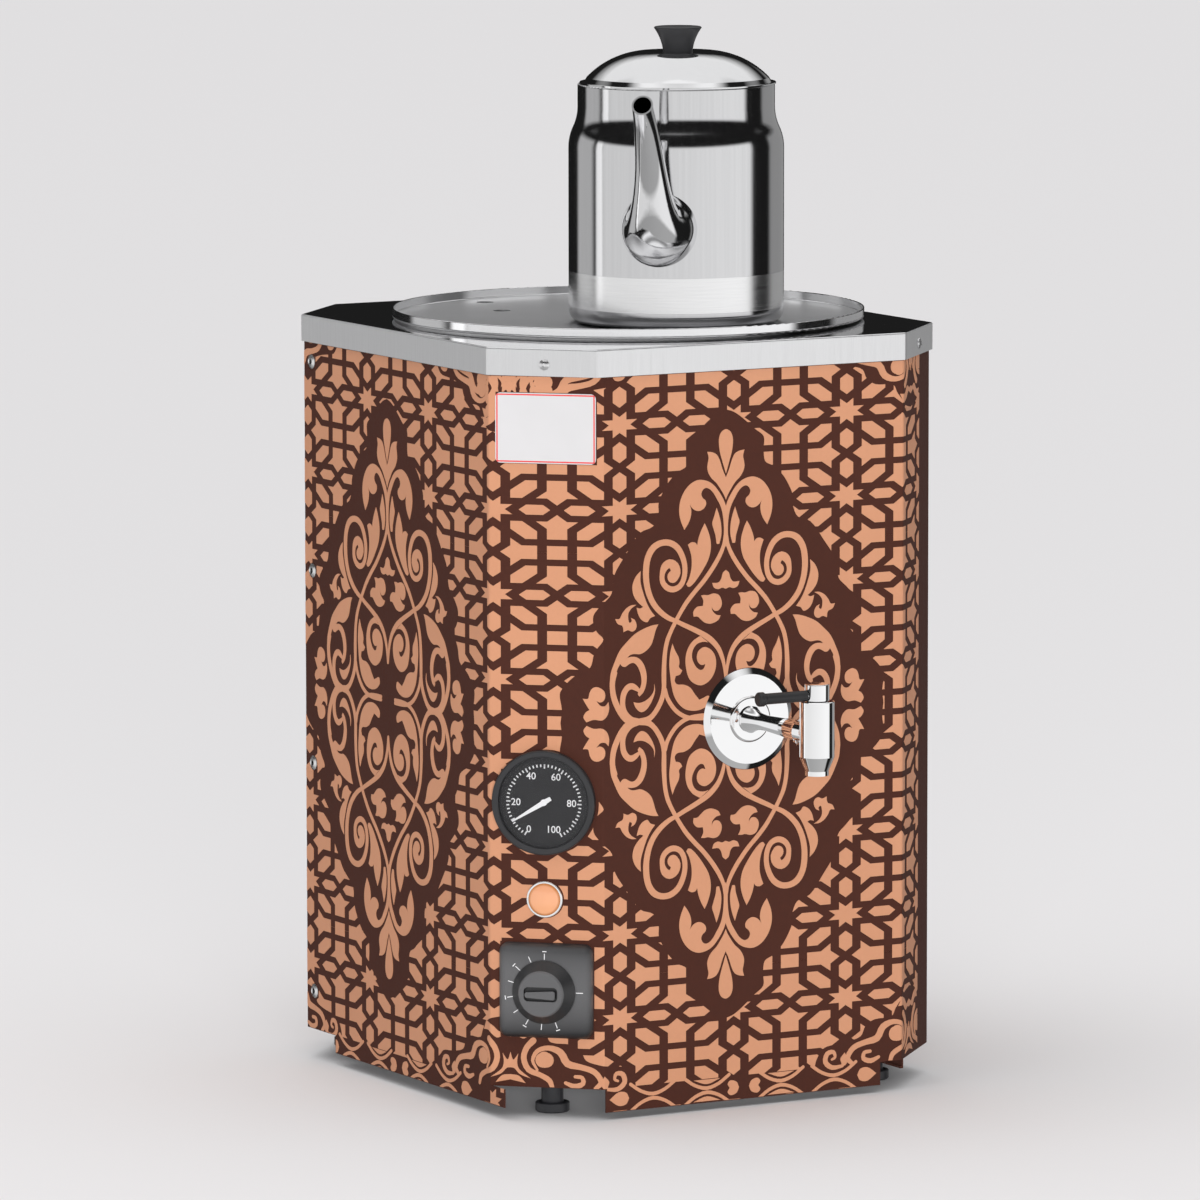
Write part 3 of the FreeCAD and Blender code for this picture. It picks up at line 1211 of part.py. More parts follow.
def earth_stud():
    low = HEM_Z + SHEET
    stud = disc(EARTH_STUD, low, low + EARTH_STUD_LENGTH).fuse(
        hexagon(EARTH_STUD * 3.4, low, low + 4)).removeSplitter()
    stud.translate(Vector(EARTH_X, TERMINAL_Y, 0))
    return stud


def thermal_cutout():
    """Resettable cut-out clamped to the tank's underside."""
    high = TANK_BOTTOM
    cutout = turned(
        (0, high), (CUTOUT_FLANGE, high), (CUTOUT_FLANGE, high - 1.2), (CUTOUT_RADIUS, high - 1.2),
        (CUTOUT_RADIUS, high - CUTOUT_HEIGHT), (1.6, high - CUTOUT_HEIGHT),
        (1.6, high - CUTOUT_HEIGHT - 2), (0, high - CUTOUT_HEIGHT - 2))
    cutout.translate(Vector(0, CUTOUT_Y, 0))
    return cutout


# Tray

def tray_lid():
    """Spun tray with a rolled corner, an upright wall and two steam holes."""
    radius = TRAY_RADIUS
    wall = TRAY_SHEET
    top = TRAY_SHEET + TRAY_WALL_HEIGHT
    bend = (radius - TRAY_CORNER, TRAY_CORNER)
    tray = turned(
        (0, 0), (bend[0], 0), (fillet_middle(bend, TRAY_CORNER, (1, -1)), (radius, bend[1])),
        (radius, top - wall / 2), ((radius - wall / 2, top), (radius - wall, top - wall / 2)),
        (radius - wall, bend[1]),
        (fillet_middle(bend, TRAY_CORNER - wall, (1, -1)), (bend[0], wall)), (0, wall))
    for distance, angle in STEAM_HOLES:
        turn = math.radians(angle)
        centre = Vector(distance * math.cos(turn), distance * math.sin(turn), -1)
        tray = tray.cut(Part.makeCylinder(STEAM_HOLE, TRAY_SHEET + 2, centre))
    tray.translate(Vector(TRAY_X, TRAY_Y, TRAY_Z))
    return tray


def tray_ring():
    """Angle-section ring welded under the tray, which keeps it from sliding off the opening."""
    outer = TANK_RADIUS - TRAY_RING_PLAY
    section = ring(outer, outer - TRAY_SHEET, -TRAY_RING_DROP, 0).fuse(
        ring(outer, outer - TRAY_RING_FLANGE, -TRAY_SHEET, 0)).removeSplitter()
    section.translate(Vector(TRAY_X, TRAY_Y, TRAY_Z))
    return section


# Teapot

def pot_shell(inset):
    """Solid of the pot's outer face moved in by the inset, with an S-shaped shoulder."""
    lean = 2 * math.atan((POT_RADIUS - POT_NECK) / (POT_NECK_Z - POT_SHOULDER))
    bend = (POT_NECK_Z - POT_SHOULDER) / 2 / math.sin(lean)

    def convex(angle):
        reach = bend - inset
        return (POT_RADIUS - bend + reach * math.cos(angle), POT_SHOULDER + reach * math.sin(angle))

    def concave(angle):
        reach = bend + inset
        return (POT_NECK + bend - reach * math.cos(angle), POT_NECK_Z - reach * math.sin(angle))

    corner = (POT_RADIUS - POT_CORNER, POT_CORNER)
    corner_radius = POT_CORNER - inset
    neck = POT_NECK - inset
    return turned(
        (0, inset), (corner[0], inset),
        (fillet_middle(corner, corner_radius, (1, -1)), (POT_RADIUS - inset, POT_CORNER)),
        convex(0), (convex(lean / 2), convex(lean)), (concave(lean / 2), concave(0)),
        (neck, POT_RIM), (0, POT_RIM))


def teapot_base():
    """Shallow cup with a rounded corner, welded under the pot's wall."""
    cup = pot_shell(0).cut(pot_shell(POT_WALL)).common(disc(POT_RADIUS * 2, 0, POT_CORNER))
    return placed(cup, pot_placement())


def teapot_body():
    """The pot's wall with a stepped-in neck and a beaded rim."""
    body = pot_shell(0).cut(pot_shell(POT_WALL)).cut(disc(POT_RADIUS * 2, -POT_WALL, POT_CORNER))
    mouth = disc(POT_NECK - POT_WALL, POT_RIM - 5, POT_RIM + 5)
    bead = Part.makeTorus(POT_NECK - POT_BEAD, POT_BEAD, Vector(0, 0, POT_RIM), UP)
    body = body.cut(mouth).fuse(bead)
    spout_hole = Part.makeCylinder(SPOUT_HOLE, POT_RADIUS, Vector(0, 0, SPOUT_BASE), Vector(1, 0, 0))
    return placed(body.cut(spout_hole), pot_placement())


def spout_solid(inset):
    """Gooseneck through round sections: (out, up, rise of its axis, radius)."""
    slope = math.radians(SPOUT_MOUTH_SLOPE)
    mouth = POT_RADIUS + SPOUT_MOUTH
    sections = (
        (POT_RADIUS - 4.5, SPOUT_BASE, 0, SPOUT_ROOT_RADIUS + 0.4),
        (POT_RADIUS + 1.0, SPOUT_BASE, 2, SPOUT_ROOT_RADIUS - 0.6),
        *((POT_RADIUS + out, SPOUT_BASE + up, rise, SPOUT_ROOT_RADIUS * share)
          for out, up, rise, share in SPOUT_BENDS),
        (mouth, SPOUT_MOUTH_Z, SPOUT_MOUTH_SLOPE, SPOUT_MOUTH_RADIUS),
        (mouth + SPOUT_TRIM * math.cos(slope), SPOUT_MOUTH_Z + SPOUT_TRIM * math.sin(slope),
         SPOUT_MOUTH_SLOPE, SPOUT_MOUTH_RADIUS))
    circles = []
    for out, up, angle, radius in sections:
        turn = math.radians(angle)
        normal = Vector(math.cos(turn), 0, math.sin(turn))
        circles.append(Part.Wire(Part.makeCircle(radius - inset, Vector(out, 0, up), normal)))
    return Part.makeLoft(circles, True, False)


def teapot_spout():
    """Hollow gooseneck seated on the pot's side, with a slanting mouth."""
    spout = spout_solid(0).cut(spout_solid(SPOUT_WALL))
    spout = spout.cut(disc(POT_RADIUS + FIT, 0, POT_RIM))
    tilt = FreeCAD.Rotation(Vector(0, 1, 0), 90 - SPOUT_CUT_TILT)
    reach = SPOUT_ROOT_RADIUS
    cutter = Part.makeBox(reach * 2, reach * 2, reach * 2, Vector(-reach, -reach, 0))
    mouth = Vector(POT_RADIUS + SPOUT_MOUTH, 0, SPOUT_MOUTH_Z)
    cutter.Placement = FreeCAD.Placement(mouth, tilt).multiply(cutter.Placement)
    return placed(spout.cut(cutter), pot_placement())


def handle_points():
    """The handle's middle line, on the side opposite the spout."""
    back = -POT_RADIUS - HANDLE_REACH
    return [Vector(HANDLE_ENDS, 0, HANDLE_TOP), Vector(back, 0, HANDLE_TOP),
            Vector(back + HANDLE_LEAN, 0, HANDLE_BOTTOM), Vector(HANDLE_ENDS, 0, HANDLE_BOTTOM)]


def teapot_handle():
    """Moulded loop handle on two steel brackets."""
    handle = pipe(route(handle_points(), HANDLE_BEND), HANDLE_RADIUS)
    for height in (HANDLE_TOP, HANDLE_BOTTOM):
        pin_hole = Part.makeCylinder(BRACKET_PIN + FIT, 13, Vector(HANDLE_ENDS + 1, 0, height),
                                     Vector(-1, 0, 0))
        handle = handle.cut(pin_hole)
    return placed(handle, pot_placement())


def handle_brackets():
    """Welded pads with a pin into each end of the handle."""
    brackets = []
    for height in (HANDLE_TOP, HANDLE_BOTTOM):
        pad = block(HANDLE_ENDS + FIT, -POT_NECK + POT_WALL, -BRACKET_WIDTH / 2, BRACKET_WIDTH / 2,
                    height - BRACKET_HEIGHT / 2, height + BRACKET_HEIGHT / 2)
        waist = Part.makeCylinder(HANDLE_RADIUS * 0.8, POT_RADIUS, Vector(HANDLE_ENDS + FIT, 0, height),
                                  Vector(1, 0, 0))
        ear = pad.cut(disc(POT_RADIUS * 2, 0, POT_RIM).cut(disc(POT_RADIUS + BRACKET_THICKNESS, 0, POT_RIM)))
        pin = Part.makeCylinder(BRACKET_PIN, 12, Vector(HANDLE_ENDS + FIT, 0, height), Vector(-1, 0, 0))
        solid = ear.fuse([waist, pin]).removeSplitter().cut(pot_outside_cut())
        brackets.append(solid)
    return placed(Part.makeCompound(brackets), pot_placement())


def pot_outside_cut():
    """The pot with a hair's room round it, to seat what is welded on its side."""
    return pot_shell(-FIT)


# Teapot lid

def teapot_lid():
    """Pressed dome with a dished middle, a thin lip and a plug ring that drops into the neck."""
    lip = LID_SEAT
    sheet = LID_SHEET
    edge = (LID_EDGE_RADIUS, lip + LID_EDGE_RISE)
    crest = (LID_CREST_RADIUS, LID_CREST)
    middle = ((edge[0] + crest[0]) / 2 + LID_BULGE * 0.42, (edge[1] + crest[1]) / 2 + LID_BULGE)
    dish = LID_CREST - LID_DISH
    dome_sheet = turned(
        (0, dish), (LID_DISH_RADIUS, dish), crest, (middle, edge),
        (LID_EDGE_RADIUS + 1.4, lip + sheet), (LID_LIP_RADIUS, lip + sheet), (LID_LIP_RADIUS, lip),
        (LID_PLUG_RADIUS, lip), (LID_PLUG_RADIUS, lip - LID_PLUG_DEPTH),
        (LID_PLUG_RADIUS - sheet, lip - LID_PLUG_DEPTH), (LID_PLUG_RADIUS - sheet, lip),
        (LID_EDGE_RADIUS + 0.4, lip + sheet / 2), (LID_EDGE_RADIUS - sheet, edge[1] - sheet / 2),
        ((middle[0] - sheet * 0.4, middle[1] - sheet), (LID_CREST_RADIUS, LID_CREST - sheet)),
        (LID_DISH_RADIUS, dish - sheet), (0, dish - sheet))
    hole = disc(LID_SCREW + FIT, lip, LID_CREST)
    return placed(dome_sheet.cut(hole), lid_placement())


def lid_knob():
    """Flared knob with a slightly domed top."""
    base = LID_CREST - LID_DISH
    lip = base + LID_KNOB_LIP
    rim = LID_KNOB_TOP - 1.0
    knob = turned(
        (0, base), (LID_KNOB_NECK, base), ((LID_KNOB_WAIST, base + LID_KNOB_LIP * 0.46), (LID_KNOB_TOP, lip)),
        ((LID_KNOB_TOP - 0.25, lip + 0.5), (rim, lip + 0.8)), dome(rim, lip + 0.8, base + LID_KNOB_RISE))
    screw_room = disc(LID_SCREW + FIT, base - 1, base + LID_SCREW_DEPTH)
    return placed(knob.cut(screw_room), lid_placement())


def knob_screw():
    seat = LID_CREST - LID_DISH - LID_SHEET
    screw = disc(LID_SCREW, seat, seat + LID_SHEET + LID_SCREW_DEPTH - 1).fuse(
        disc(LID_SCREW_HEAD, seat - LID_SCREW_HEAD_HEIGHT, seat)).removeSplitter()
    return placed(screw, lid_placement())


PIECES = (
    front_casing, rear_casing, top_collar, collar_screws, seam_rivets, base_plate, feet, foot_screws,
    tank, tank_bottom, heating_element, element_bushes, element_nuts, bulb_sheath, thermometer_bulb, thermostat_bulb,
    tap_body, tap_plug, tap_spindle_bush, tap_cap, tap_lever, lever_grip, tap_rosette, tap_nuts,
    tap_gasket, thermometer_case, thermometer_dial, thermometer_pointer, thermometer_glass,
    thermometer_clamp, lamp_holder, lamp_lens, lamp_nut, thermostat_plate, thermostat_knob,
    thermostat_shaft, thermostat_body, thermostat_screws, badge_plate, cable_gland, terminal_block,
    earth_stud, thermal_cutout, tray_lid, tray_ring, teapot_base, teapot_body, teapot_spout,
    teapot_handle, handle_brackets, teapot_lid, lid_knob, knob_screw)

os.makedirs("parts", exist_ok=True)
for piece in PIECES:
    shape = piece()
    shape.translate(ORIGIN_SHIFT)
    shape.exportStep("parts/" + piece.__name__ + ".step")
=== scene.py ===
import math
import bmesh
import bpy
import numpy as np
from mathutils import Matrix, Vector
from mathutils.geometry import delaunay_2d_cdt


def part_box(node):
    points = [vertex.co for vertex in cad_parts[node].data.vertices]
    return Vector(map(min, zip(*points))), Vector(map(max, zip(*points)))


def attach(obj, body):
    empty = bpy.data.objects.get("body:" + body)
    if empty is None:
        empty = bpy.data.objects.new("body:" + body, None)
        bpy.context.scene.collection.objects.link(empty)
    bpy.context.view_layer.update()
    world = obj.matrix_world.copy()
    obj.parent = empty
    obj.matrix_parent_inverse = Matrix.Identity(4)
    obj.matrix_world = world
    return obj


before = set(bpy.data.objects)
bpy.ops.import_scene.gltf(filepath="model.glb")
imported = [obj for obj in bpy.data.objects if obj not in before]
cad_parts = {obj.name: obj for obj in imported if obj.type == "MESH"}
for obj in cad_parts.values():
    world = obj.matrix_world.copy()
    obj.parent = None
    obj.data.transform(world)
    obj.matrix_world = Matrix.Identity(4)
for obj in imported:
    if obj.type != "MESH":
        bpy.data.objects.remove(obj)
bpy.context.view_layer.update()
scene = bpy.context.scene
MM = 0.001


# Feet, base plate and the fasteners under the urn.
# The feet are turned black nylon with a cup rim, the base plate is stamped stainless
# sheet, and zinc-plated screws hold the feet on.

def sums(operation, swapped=False):
    """Operator that adds a Math node."""
    def method(self, other):
        return self.graph.maths(operation, *((other, self) if swapped else (self, other)))
    return method


class Wire:
    """A value on a node's socket, with the operators that join it to others."""
    __add__ = __radd__ = sums("ADD")
    __sub__, __rsub__ = sums("SUBTRACT"), sums("SUBTRACT", swapped=True)
    __mul__ = __rmul__ = sums("MULTIPLY")
    __truediv__ = sums("DIVIDE")
    __gt__, __lt__ = sums("GREATER_THAN"), sums("LESS_THAN")

    def __init__(self, graph, socket):
        self.graph, self.socket = graph, socket

    def clamped(self, low=0.0, high=1.0):
        return self.graph.add("Clamp", {}, self, low, high)


class Graph:
    """A node tree. Its nodes' outputs come back as wires."""

    def __init__(self, tree):
        self.tree = tree

    def feed(self, socket, value):
        if isinstance(value, Wire):
            self.tree.links.new(value.socket, socket)
        else:
            socket.default_value = value

    def add(self, kind, settings=None, *values, output=0, **named):
        """Node fed with values or wires, in the order of its sockets or by their names."""
        node = self.tree.nodes.new(kind if "Node" in kind else "ShaderNode" + kind)
        for key, value in (settings or {}).items():
            setattr(node, key, value)
        for socket, value in zip(node.inputs, values):
            if value is not None:
                self.feed(socket, value)
        for socket, value in named.items():
            self.feed(node.inputs[socket.replace("_", " ").title()], value)
        return Wire(self, node.outputs[output])

    def maths(self, operation, *values):
        return self.add("Math", {"operation": operation}, *values)

    def along(self, vector, direction):
        """Length of a vector along a fixed direction."""
        return self.add("VectorMath", {"operation": "DOT_PRODUCT"}, vector, tuple(direction), output="Value")

    def part(self, vector, axis):
        return self.add("SeparateXYZ", {}, vector, output=axis)


class Finish(Graph):
    """A material built around one Principled shader."""

    def __init__(self, name, colour, roughness, metallic=0.0, **fixed):
        self.material = bpy.data.materials.new(name)
        self.material.use_nodes = True
        super().__init__(self.material.node_tree)
        self.shader = self.tree.nodes["Principled BSDF"]
        self.material.diffuse_color = (*colour, 1)
        fixed.update(base_color=(*colour, 1), roughness=roughness, metallic=metallic)
        for socket, value in fixed.items():
            self.set(socket.replace("_", " ").title().replace("Ior", "IOR"), value)

    def set(self, socket, value):
        self.feed(self.shader.inputs[socket], value)

    def offset(self, centre=(0, 0, 0)):
        """Object coordinates, measured from a centre."""
        here = self.add("TexCoord", {}, output="Object")
        return self.add("VectorMath", {"operation": "SUBTRACT"}, here, tuple(centre))

    def noise(self, scale, detail=3.0, stretch=(1, 1, 1), rough=0.5):
        spot = self.add("Mapping", {"vector_type": "POINT"}, self.offset(), (0, 0, 0), (0, 0, 0), stretch)
        return self.add("TexNoise", {}, spot, Scale=scale, Detail=detail, Roughness=rough)

    def mix(self, first, second, factor):
        """Colour between two, as (r, g, b) or wires."""
        colours = [colour if isinstance(colour, Wire) else (*colour, 1) for colour in (first, second)]
        return self.add("Mix", {"data_type": "RGBA"}, factor, *[None] * 5, *colours, output=2)

    def bump(self, height, depth, strength=1.0):
        self.set("Normal", self.add("Bump", {}, Strength=strength, Distance=depth, Height=height))

    def dress(self, *names):
        for name in names:
            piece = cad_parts[name] if isinstance(name, str) else name
            piece.data.materials.clear()
            piece.data.materials.append(self.material)


def moulded(name, colour, roughness, grain=900, depth=0.00004, **fixed):
    """Plastic, rubber or ceramic with a fine moulded grain."""
    finish = Finish(name, colour, roughness, **fixed)
    cloud = finish.noise(60, 4)
    grains = finish.noise(grain, 2)
    finish.set("Base Color", finish.mix([c * 0.82 for c in colour], [min(c * 1.15, 1) for c in colour],
                                        cloud))
    finish.set("Roughness", (roughness + (grains - 0.5) * 0.16).clamped())
    finish.bump(grains, depth, 0.5)
    return finish


def metal(name, colour, roughness, stretch=(1, 1, 1), scale=700, uneven=0.12, depth=0.000012, **fixed):
    """Metal whose brush lines run along the axis with the small stretch value."""
    finish = Finish(name, colour, roughness, 1.0, **fixed)
    lines = finish.noise(scale, 4, stretch)
    broad = finish.noise(18, 3)
    finish.set("Base Color", finish.mix([c * (1 - uneven) for c in colour],
                                        [min(c * (1 + uneven), 1) for c in colour], (lines + broad) * 0.5))
    finish.set("Roughness", (roughness + (lines - 0.5) * uneven * 1.5
                             + (broad - 0.5) * uneven).clamped(0.02))
    finish.bump(lines, depth, 0.6)
    return finish


nylon = moulded("foot_nylon", (0.022, 0.022, 0.025), 0.42)
nylon.dress("feet", "cable_gland", "lamp_nut", "tap_spindle_bush")
zinc = metal("zinc_plate", (0.62, 0.63, 0.66), 0.33, scale=400)
zinc.dress("foot_screws", "thermostat_screws", "thermostat_shaft", "knob_screw")
satin_sheet = metal("satin_sheet", (0.5, 0.5, 0.51), 0.4, (1, 0.03, 1), 500)
satin_sheet.dress("base_plate", "tray_ring")


# Tank, immersion heater and bulb sheath.
# The tank's rolled wall is welded to a deep pressed bottom and hangs by its flange on the
# collar, and the heater is a bent tube held by two brass bushes.
# The sensing bulbs are drawn copper, and the cut-out and terminal block sit below.

metal("spun_tank", (0.52, 0.52, 0.53), 0.32, (1, 1, 0.03), 500).dress("tank", "tank_bottom", "bulb_sheath")
metal("heater_tube", (0.4, 0.39, 0.38), 0.38).dress("heating_element")
brass = metal("turned_brass", (0.72, 0.53, 0.25), 0.28, (1, 1, 0.05), 600)
brass.dress("element_bushes", "element_nuts", "tap_nuts", "earth_stud")
metal("drawn_copper", (0.75, 0.4, 0.26), 0.25).dress("thermometer_bulb", "thermostat_bulb")
moulded("sealing_rubber", (0.02, 0.02, 0.02), 0.7).dress("tap_gasket")
moulded("steatite", (0.75, 0.72, 0.66), 0.6).dress("terminal_block")


# Casing.
# Two bent shells of thin steel sheet, riveted at two corners, are coated dark brown and
# carry a raised copper-coloured print.

INK = (0.062, 0.02, 0.013)
coat = Finish("dark_coat", INK, 0.62, specular_ior_level=0.2)
mottle = coat.noise(420, 5, rough=0.65)
drift = coat.noise(9, 2)
coat.set("Base Color", coat.mix([c * 0.72 for c in INK], [c * 1.35 for c in INK],
                                mottle * 0.65 + drift * 0.35))
coat.set("Roughness", (mottle * 0.3 + 0.48).clamped())
coat.bump(mottle, 0.00012, 0.6)
coat.dress("front_casing", "rear_casing")


# Seam rivets and collar screws.
# Zinc-plated domed blind rivets hold the seam flanges, and small button screws with
# hexagon sockets hold the collar.

metal("bright_zinc", (0.93, 0.93, 0.94), 0.3, scale=300).dress("seam_rivets", "collar_screws")


# Collar.
# A folded stainless frame round the tank's opening: its top is mirror-finished and its
# turned-down edge is finely brushed.

collar = Finish("collar_steel", (0.78, 0.78, 0.79), 0.3, 1.0)
streaks = collar.noise(900, 5, (1, 1, 0.012))
fine = collar.noise(2600, 2, (1, 1, 0.02))
on_top = collar.part(collar.offset(), "Z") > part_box("top_collar")[1].z - 0.2 * MM
collar.set("Base Color", collar.mix((0.8, 0.8, 0.81), (0.99, 0.99, 1.0), streaks * 0.7 + fine * 0.3))
collar.set("Roughness", (0.36 + (streaks - 0.5) * 0.3) * (1 - on_top) + on_top * 0.06)
collar.bump(streaks * (1 - on_top), 0.00004, 0.6)
collar.dress("top_collar")


# Tap.
# A chrome-plated brass plug cock: the barrel, cap, lever rod and escutcheon are polished,
# and a dull black sleeve covers the lever.

chrome = metal("chrome_plate", (0.97, 0.97, 0.98), 0.045, scale=60, uneven=0.03, depth=0.000004)
chrome.dress("tap_body", "tap_plug", "tap_cap", "tap_lever", "tap_rosette", "lamp_holder")
moulded("grip_sleeve", (0.02, 0.02, 0.021), 0.5, 1200).dress("lever_grip")


# Thermometer.
# A black moulded case with a clamping ring behind the panel, a matt black dial with
# white print, a white pointer and a clear cover.

PANEL_OUT = Vector((-0.67126, -0.74122, 0.0))
PANEL_RIGHT = Vector((0.74122, -0.67126, 0.0))
UP = Vector((0, 0, 1))
PRINT_LIFT = 0.02 * MM      # white print above the face that carries it
PRINT_THICKNESS = 0.06 * MM
FIGURE_SHARE = 0.69         # height of a figure as a share of its type size


def reach(name, direction):
    """How far a node's vertices go along a direction."""
    return max(v.co.dot(direction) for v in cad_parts[name].data.vertices)


def middle(name):
    low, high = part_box(name)
    return (low + high) / 2


def panel_frame(name):
    """Local X right, Y up and Z outward on a fitting of the gauge panel, from its face."""
    centre = middle(name)
    spot = centre + PANEL_OUT * (reach(name, PANEL_OUT) - centre.dot(PANEL_OUT) + PRINT_LIFT)
    return Matrix.Translation(spot) @ Matrix((PANEL_RIGHT, UP, PANEL_OUT)).transposed().to_4x4()


def finished(name, mesh, finish):
    """Object at the origin from a mesh that is already in place on the urn."""
    piece = bpy.data.objects.new(name, mesh)
    scene.collection.objects.link(piece)
    finish.dress(piece)
    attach(piece, "urn")


def plain_mesh(carrier):
    """Mesh of an object, which is then dropped."""
    scene.collection.objects.link(carrier)
    depsgraph = bpy.context.evaluated_depsgraph_get()
    mesh = bpy.data.meshes.new_from_object(carrier.evaluated_get(depsgraph))
    bpy.data.objects.remove(carrier)
    return mesh


class Tree(Graph):
    """A Geometry Nodes tree whose sizes are named inputs."""

    def __init__(self, name, **sizes):
        super().__init__(bpy.data.node_groups.new(name, "GeometryNodeTree"))
        self.tree.interface.new_socket("Geometry", in_out="OUTPUT", socket_type="NodeSocketGeometry")
        self.settings = {}
        for label, value in sizes.items():
            kind = "NodeSocketInt" if isinstance(value, int) else "NodeSocketFloat"
            socket = self.tree.interface.new_socket(label, in_out="INPUT", socket_type=kind)
            socket.default_value = value
            self.settings[socket.identifier] = value
        inputs = self.tree.nodes.new("NodeGroupInput").outputs
        self.size = {label: Wire(self, inputs[label]) for label in sizes}
        self.end = self.tree.nodes.new("NodeGroupOutput").inputs[0]

    def mesh(self, finish, geometry):
        """Ends the tree, runs it once and returns a plain mesh."""
        real = self.add("GeometryNodeRealizeInstances", Geometry=geometry)
        self.feed(self.end, self.add("GeometryNodeSetMaterial", Geometry=real, Material=finish.material))
        carrier = bpy.data.objects.new("carrier", bpy.data.meshes.new("carrier"))
        modifier = carrier.modifiers.new("tree", "NODES")
        modifier.node_group = self.tree
        for key, value in self.settings.items():
            modifier[key] = value
        return plain_mesh(carrier)


def lettering(text, height, x, y):
    """Mesh of a line of plain figures centred on a point of the local face."""
    curve = bpy.data.curves.new("figures", "FONT")
    curve.body = text
    curve.size = height / FIGURE_SHARE
    curve.align_x = curve.align_y = "CENTER"
    curve.extrude = PRINT_THICKNESS / 2
    curve.offset = 0.03 * MM
    curve.resolution_u = 4
    mesh = plain_mesh(bpy.data.objects.new("figures", curve))
    xs, ys = zip(*(vertex.co.xy for vertex in mesh.vertices))
    mesh.transform(Matrix.Translation((x - (min(xs) + max(xs)) / 2, y - (min(ys) + max(ys)) / 2, 0)))
    return mesh


def joined(name, meshes, placement):
    """One mesh of several, carried from the local face to its place."""
    whole = bmesh.new()
    for mesh in meshes:
        whole.from_mesh(mesh)
    bmesh.ops.remove_doubles(whole, verts=whole.verts, dist=0.000001)
    bmesh.ops.recalc_face_normals(whole, faces=whole.faces)
    result = bpy.data.meshes.new(name)
    whole.to_mesh(result)
    whole.free()
    result.transform(placement)
    return result


def tick_marks(name, finish, count, first, step, radius, length, width):
    """Flat bars spread round a circle, pointing at its middle. Angles in degrees."""
    tree = Tree(name, Count=count, First=first, Step=step, Radius=radius, Length=length, Width=width)
    size = tree.size
    turn = tree.maths("RADIANS", tree.add("GeometryNodeInputIndex") * size["Step"] + size["First"])
    spot = tree.add("CombineXYZ", X=tree.maths("COSINE", turn) * size["Radius"],
                    Y=tree.maths("SINE", turn) * size["Radius"])
    points = tree.add("GeometryNodeMeshLine", Count=size["Count"])
    spread = tree.add("GeometryNodeSetPosition", Geometry=points, Position=spot)
    shape = tree.add("CombineXYZ", X=size["Length"], Y=size["Width"], Z=PRINT_THICKNESS)
    bar = tree.add("GeometryNodeMeshCube", Size=shape)
    spin = tree.add("CombineXYZ", Z=turn)
    return tree.mesh(finish, tree.add("GeometryNodeInstanceOnPoints", Points=spread, Instance=bar,
                                      Rotation=spin))


bakelite = moulded("black_moulding", (0.026, 0.026, 0.028), 0.36, 1400, 0.00002)
bakelite.dress("thermometer_case", "thermostat_body", "thermal_cutout", "thermometer_clamp")
moulded("dial_black", (0.03, 0.03, 0.032), 0.6, 2000, 0.00001).dress("thermometer_dial")
white_print = moulded("white_print", (0.83, 0.83, 0.84), 0.5, 3000, 0.000004)
white_print.dress("thermometer_pointer")
cover = Finish("clear_cover", (0.02, 0.02, 0.02), 0.03, specular_ior_level=0.4)
cover.set("Alpha", (cover.noise(30, 2) * 0.02 + 0.035).clamped())
cover.dress("thermometer_glass")

dial = panel_frame("thermometer_dial")
SCALE_START = 239.3         # degrees, anticlockwise from the right
SCALE_SWEEP = -300.8
DIVISIONS = 50
step = SCALE_SWEEP / DIVISIONS
marks = [tick_marks("minor_ticks", white_print, DIVISIONS + 1, SCALE_START, step,
                    21.5 * MM, 1.6 * MM, 0.75 * MM),
         tick_marks("major_ticks", white_print, DIVISIONS // 5 + 1, SCALE_START, step * 5,
                    21.1 * MM, 2.5 * MM, 0.85 * MM)]
for value, x, y in ((0, -9.0, -15.6), (20, -16.6, 0), (40, -7.6, 15.4), (60, 7.2, 15.1), (80, 16.4, 0),
                    (100, 6.1, -15.5)):
    marks.append(lettering(str(value), 4.0 * MM, x * MM, y * MM))
finished("dial_print", joined("dial_print", marks, dial), white_print)


# Raised print.
# A copper-coloured layer a quarter of a millimetre high stands on the dark coat: strapwork
# with stars and hexagons that opens round a scrolled medallion on each wide face.
# It was laid on the flat sheets, so it follows them round their bends.

# Millimetres: plans are measured from the casing's own axis, and a developed sheet to the
# right from the tap face's middle and up from the floor.
AXIS_Y = 35.3               # the casing's axis in the frame
HALF_X, HALF_Y, LEG = 148.4, 160.4, 45.66
GAUGE_LEG_X, GAUGE_LEG_Y = 49.8, 45.1
OUTER_BEND = 2.0
PRINT_ROOT, PRINT_HEIGHT = -0.02, 0.25
PRINT_LOW, PRINT_HIGH = 18.6, 432.3
SKIRT_LOW, TAP_SKIRT_LOW = 7.9, 4.9
OVERRUN = 15.9              # left skirt's print past the gauge corner's bend
RIVET_HEIGHTS = (41.3, 179.8, 295.8, 421.1)
RIVET_INSET, RIVET_BARE = 9.6, 4.6
BARE_GAP = 0.3              # between a fitting and the print round it
MERGE = 0.0005              # points closer than this are one point
CELL, CELL_STRETCH = 49.4, 1.536
STAR_LEVEL = 207.1
STRAP = 1.9                 # half the width of a band
MEDALLION_LEVEL = 231.7
TILE = 273.6                # from medallion to medallion
RING_LEVEL, RING_OFFSET = 11.9, 12.4
FLOWER_TURN = 24.9          # the flowers on the right are the left ones turned about half this

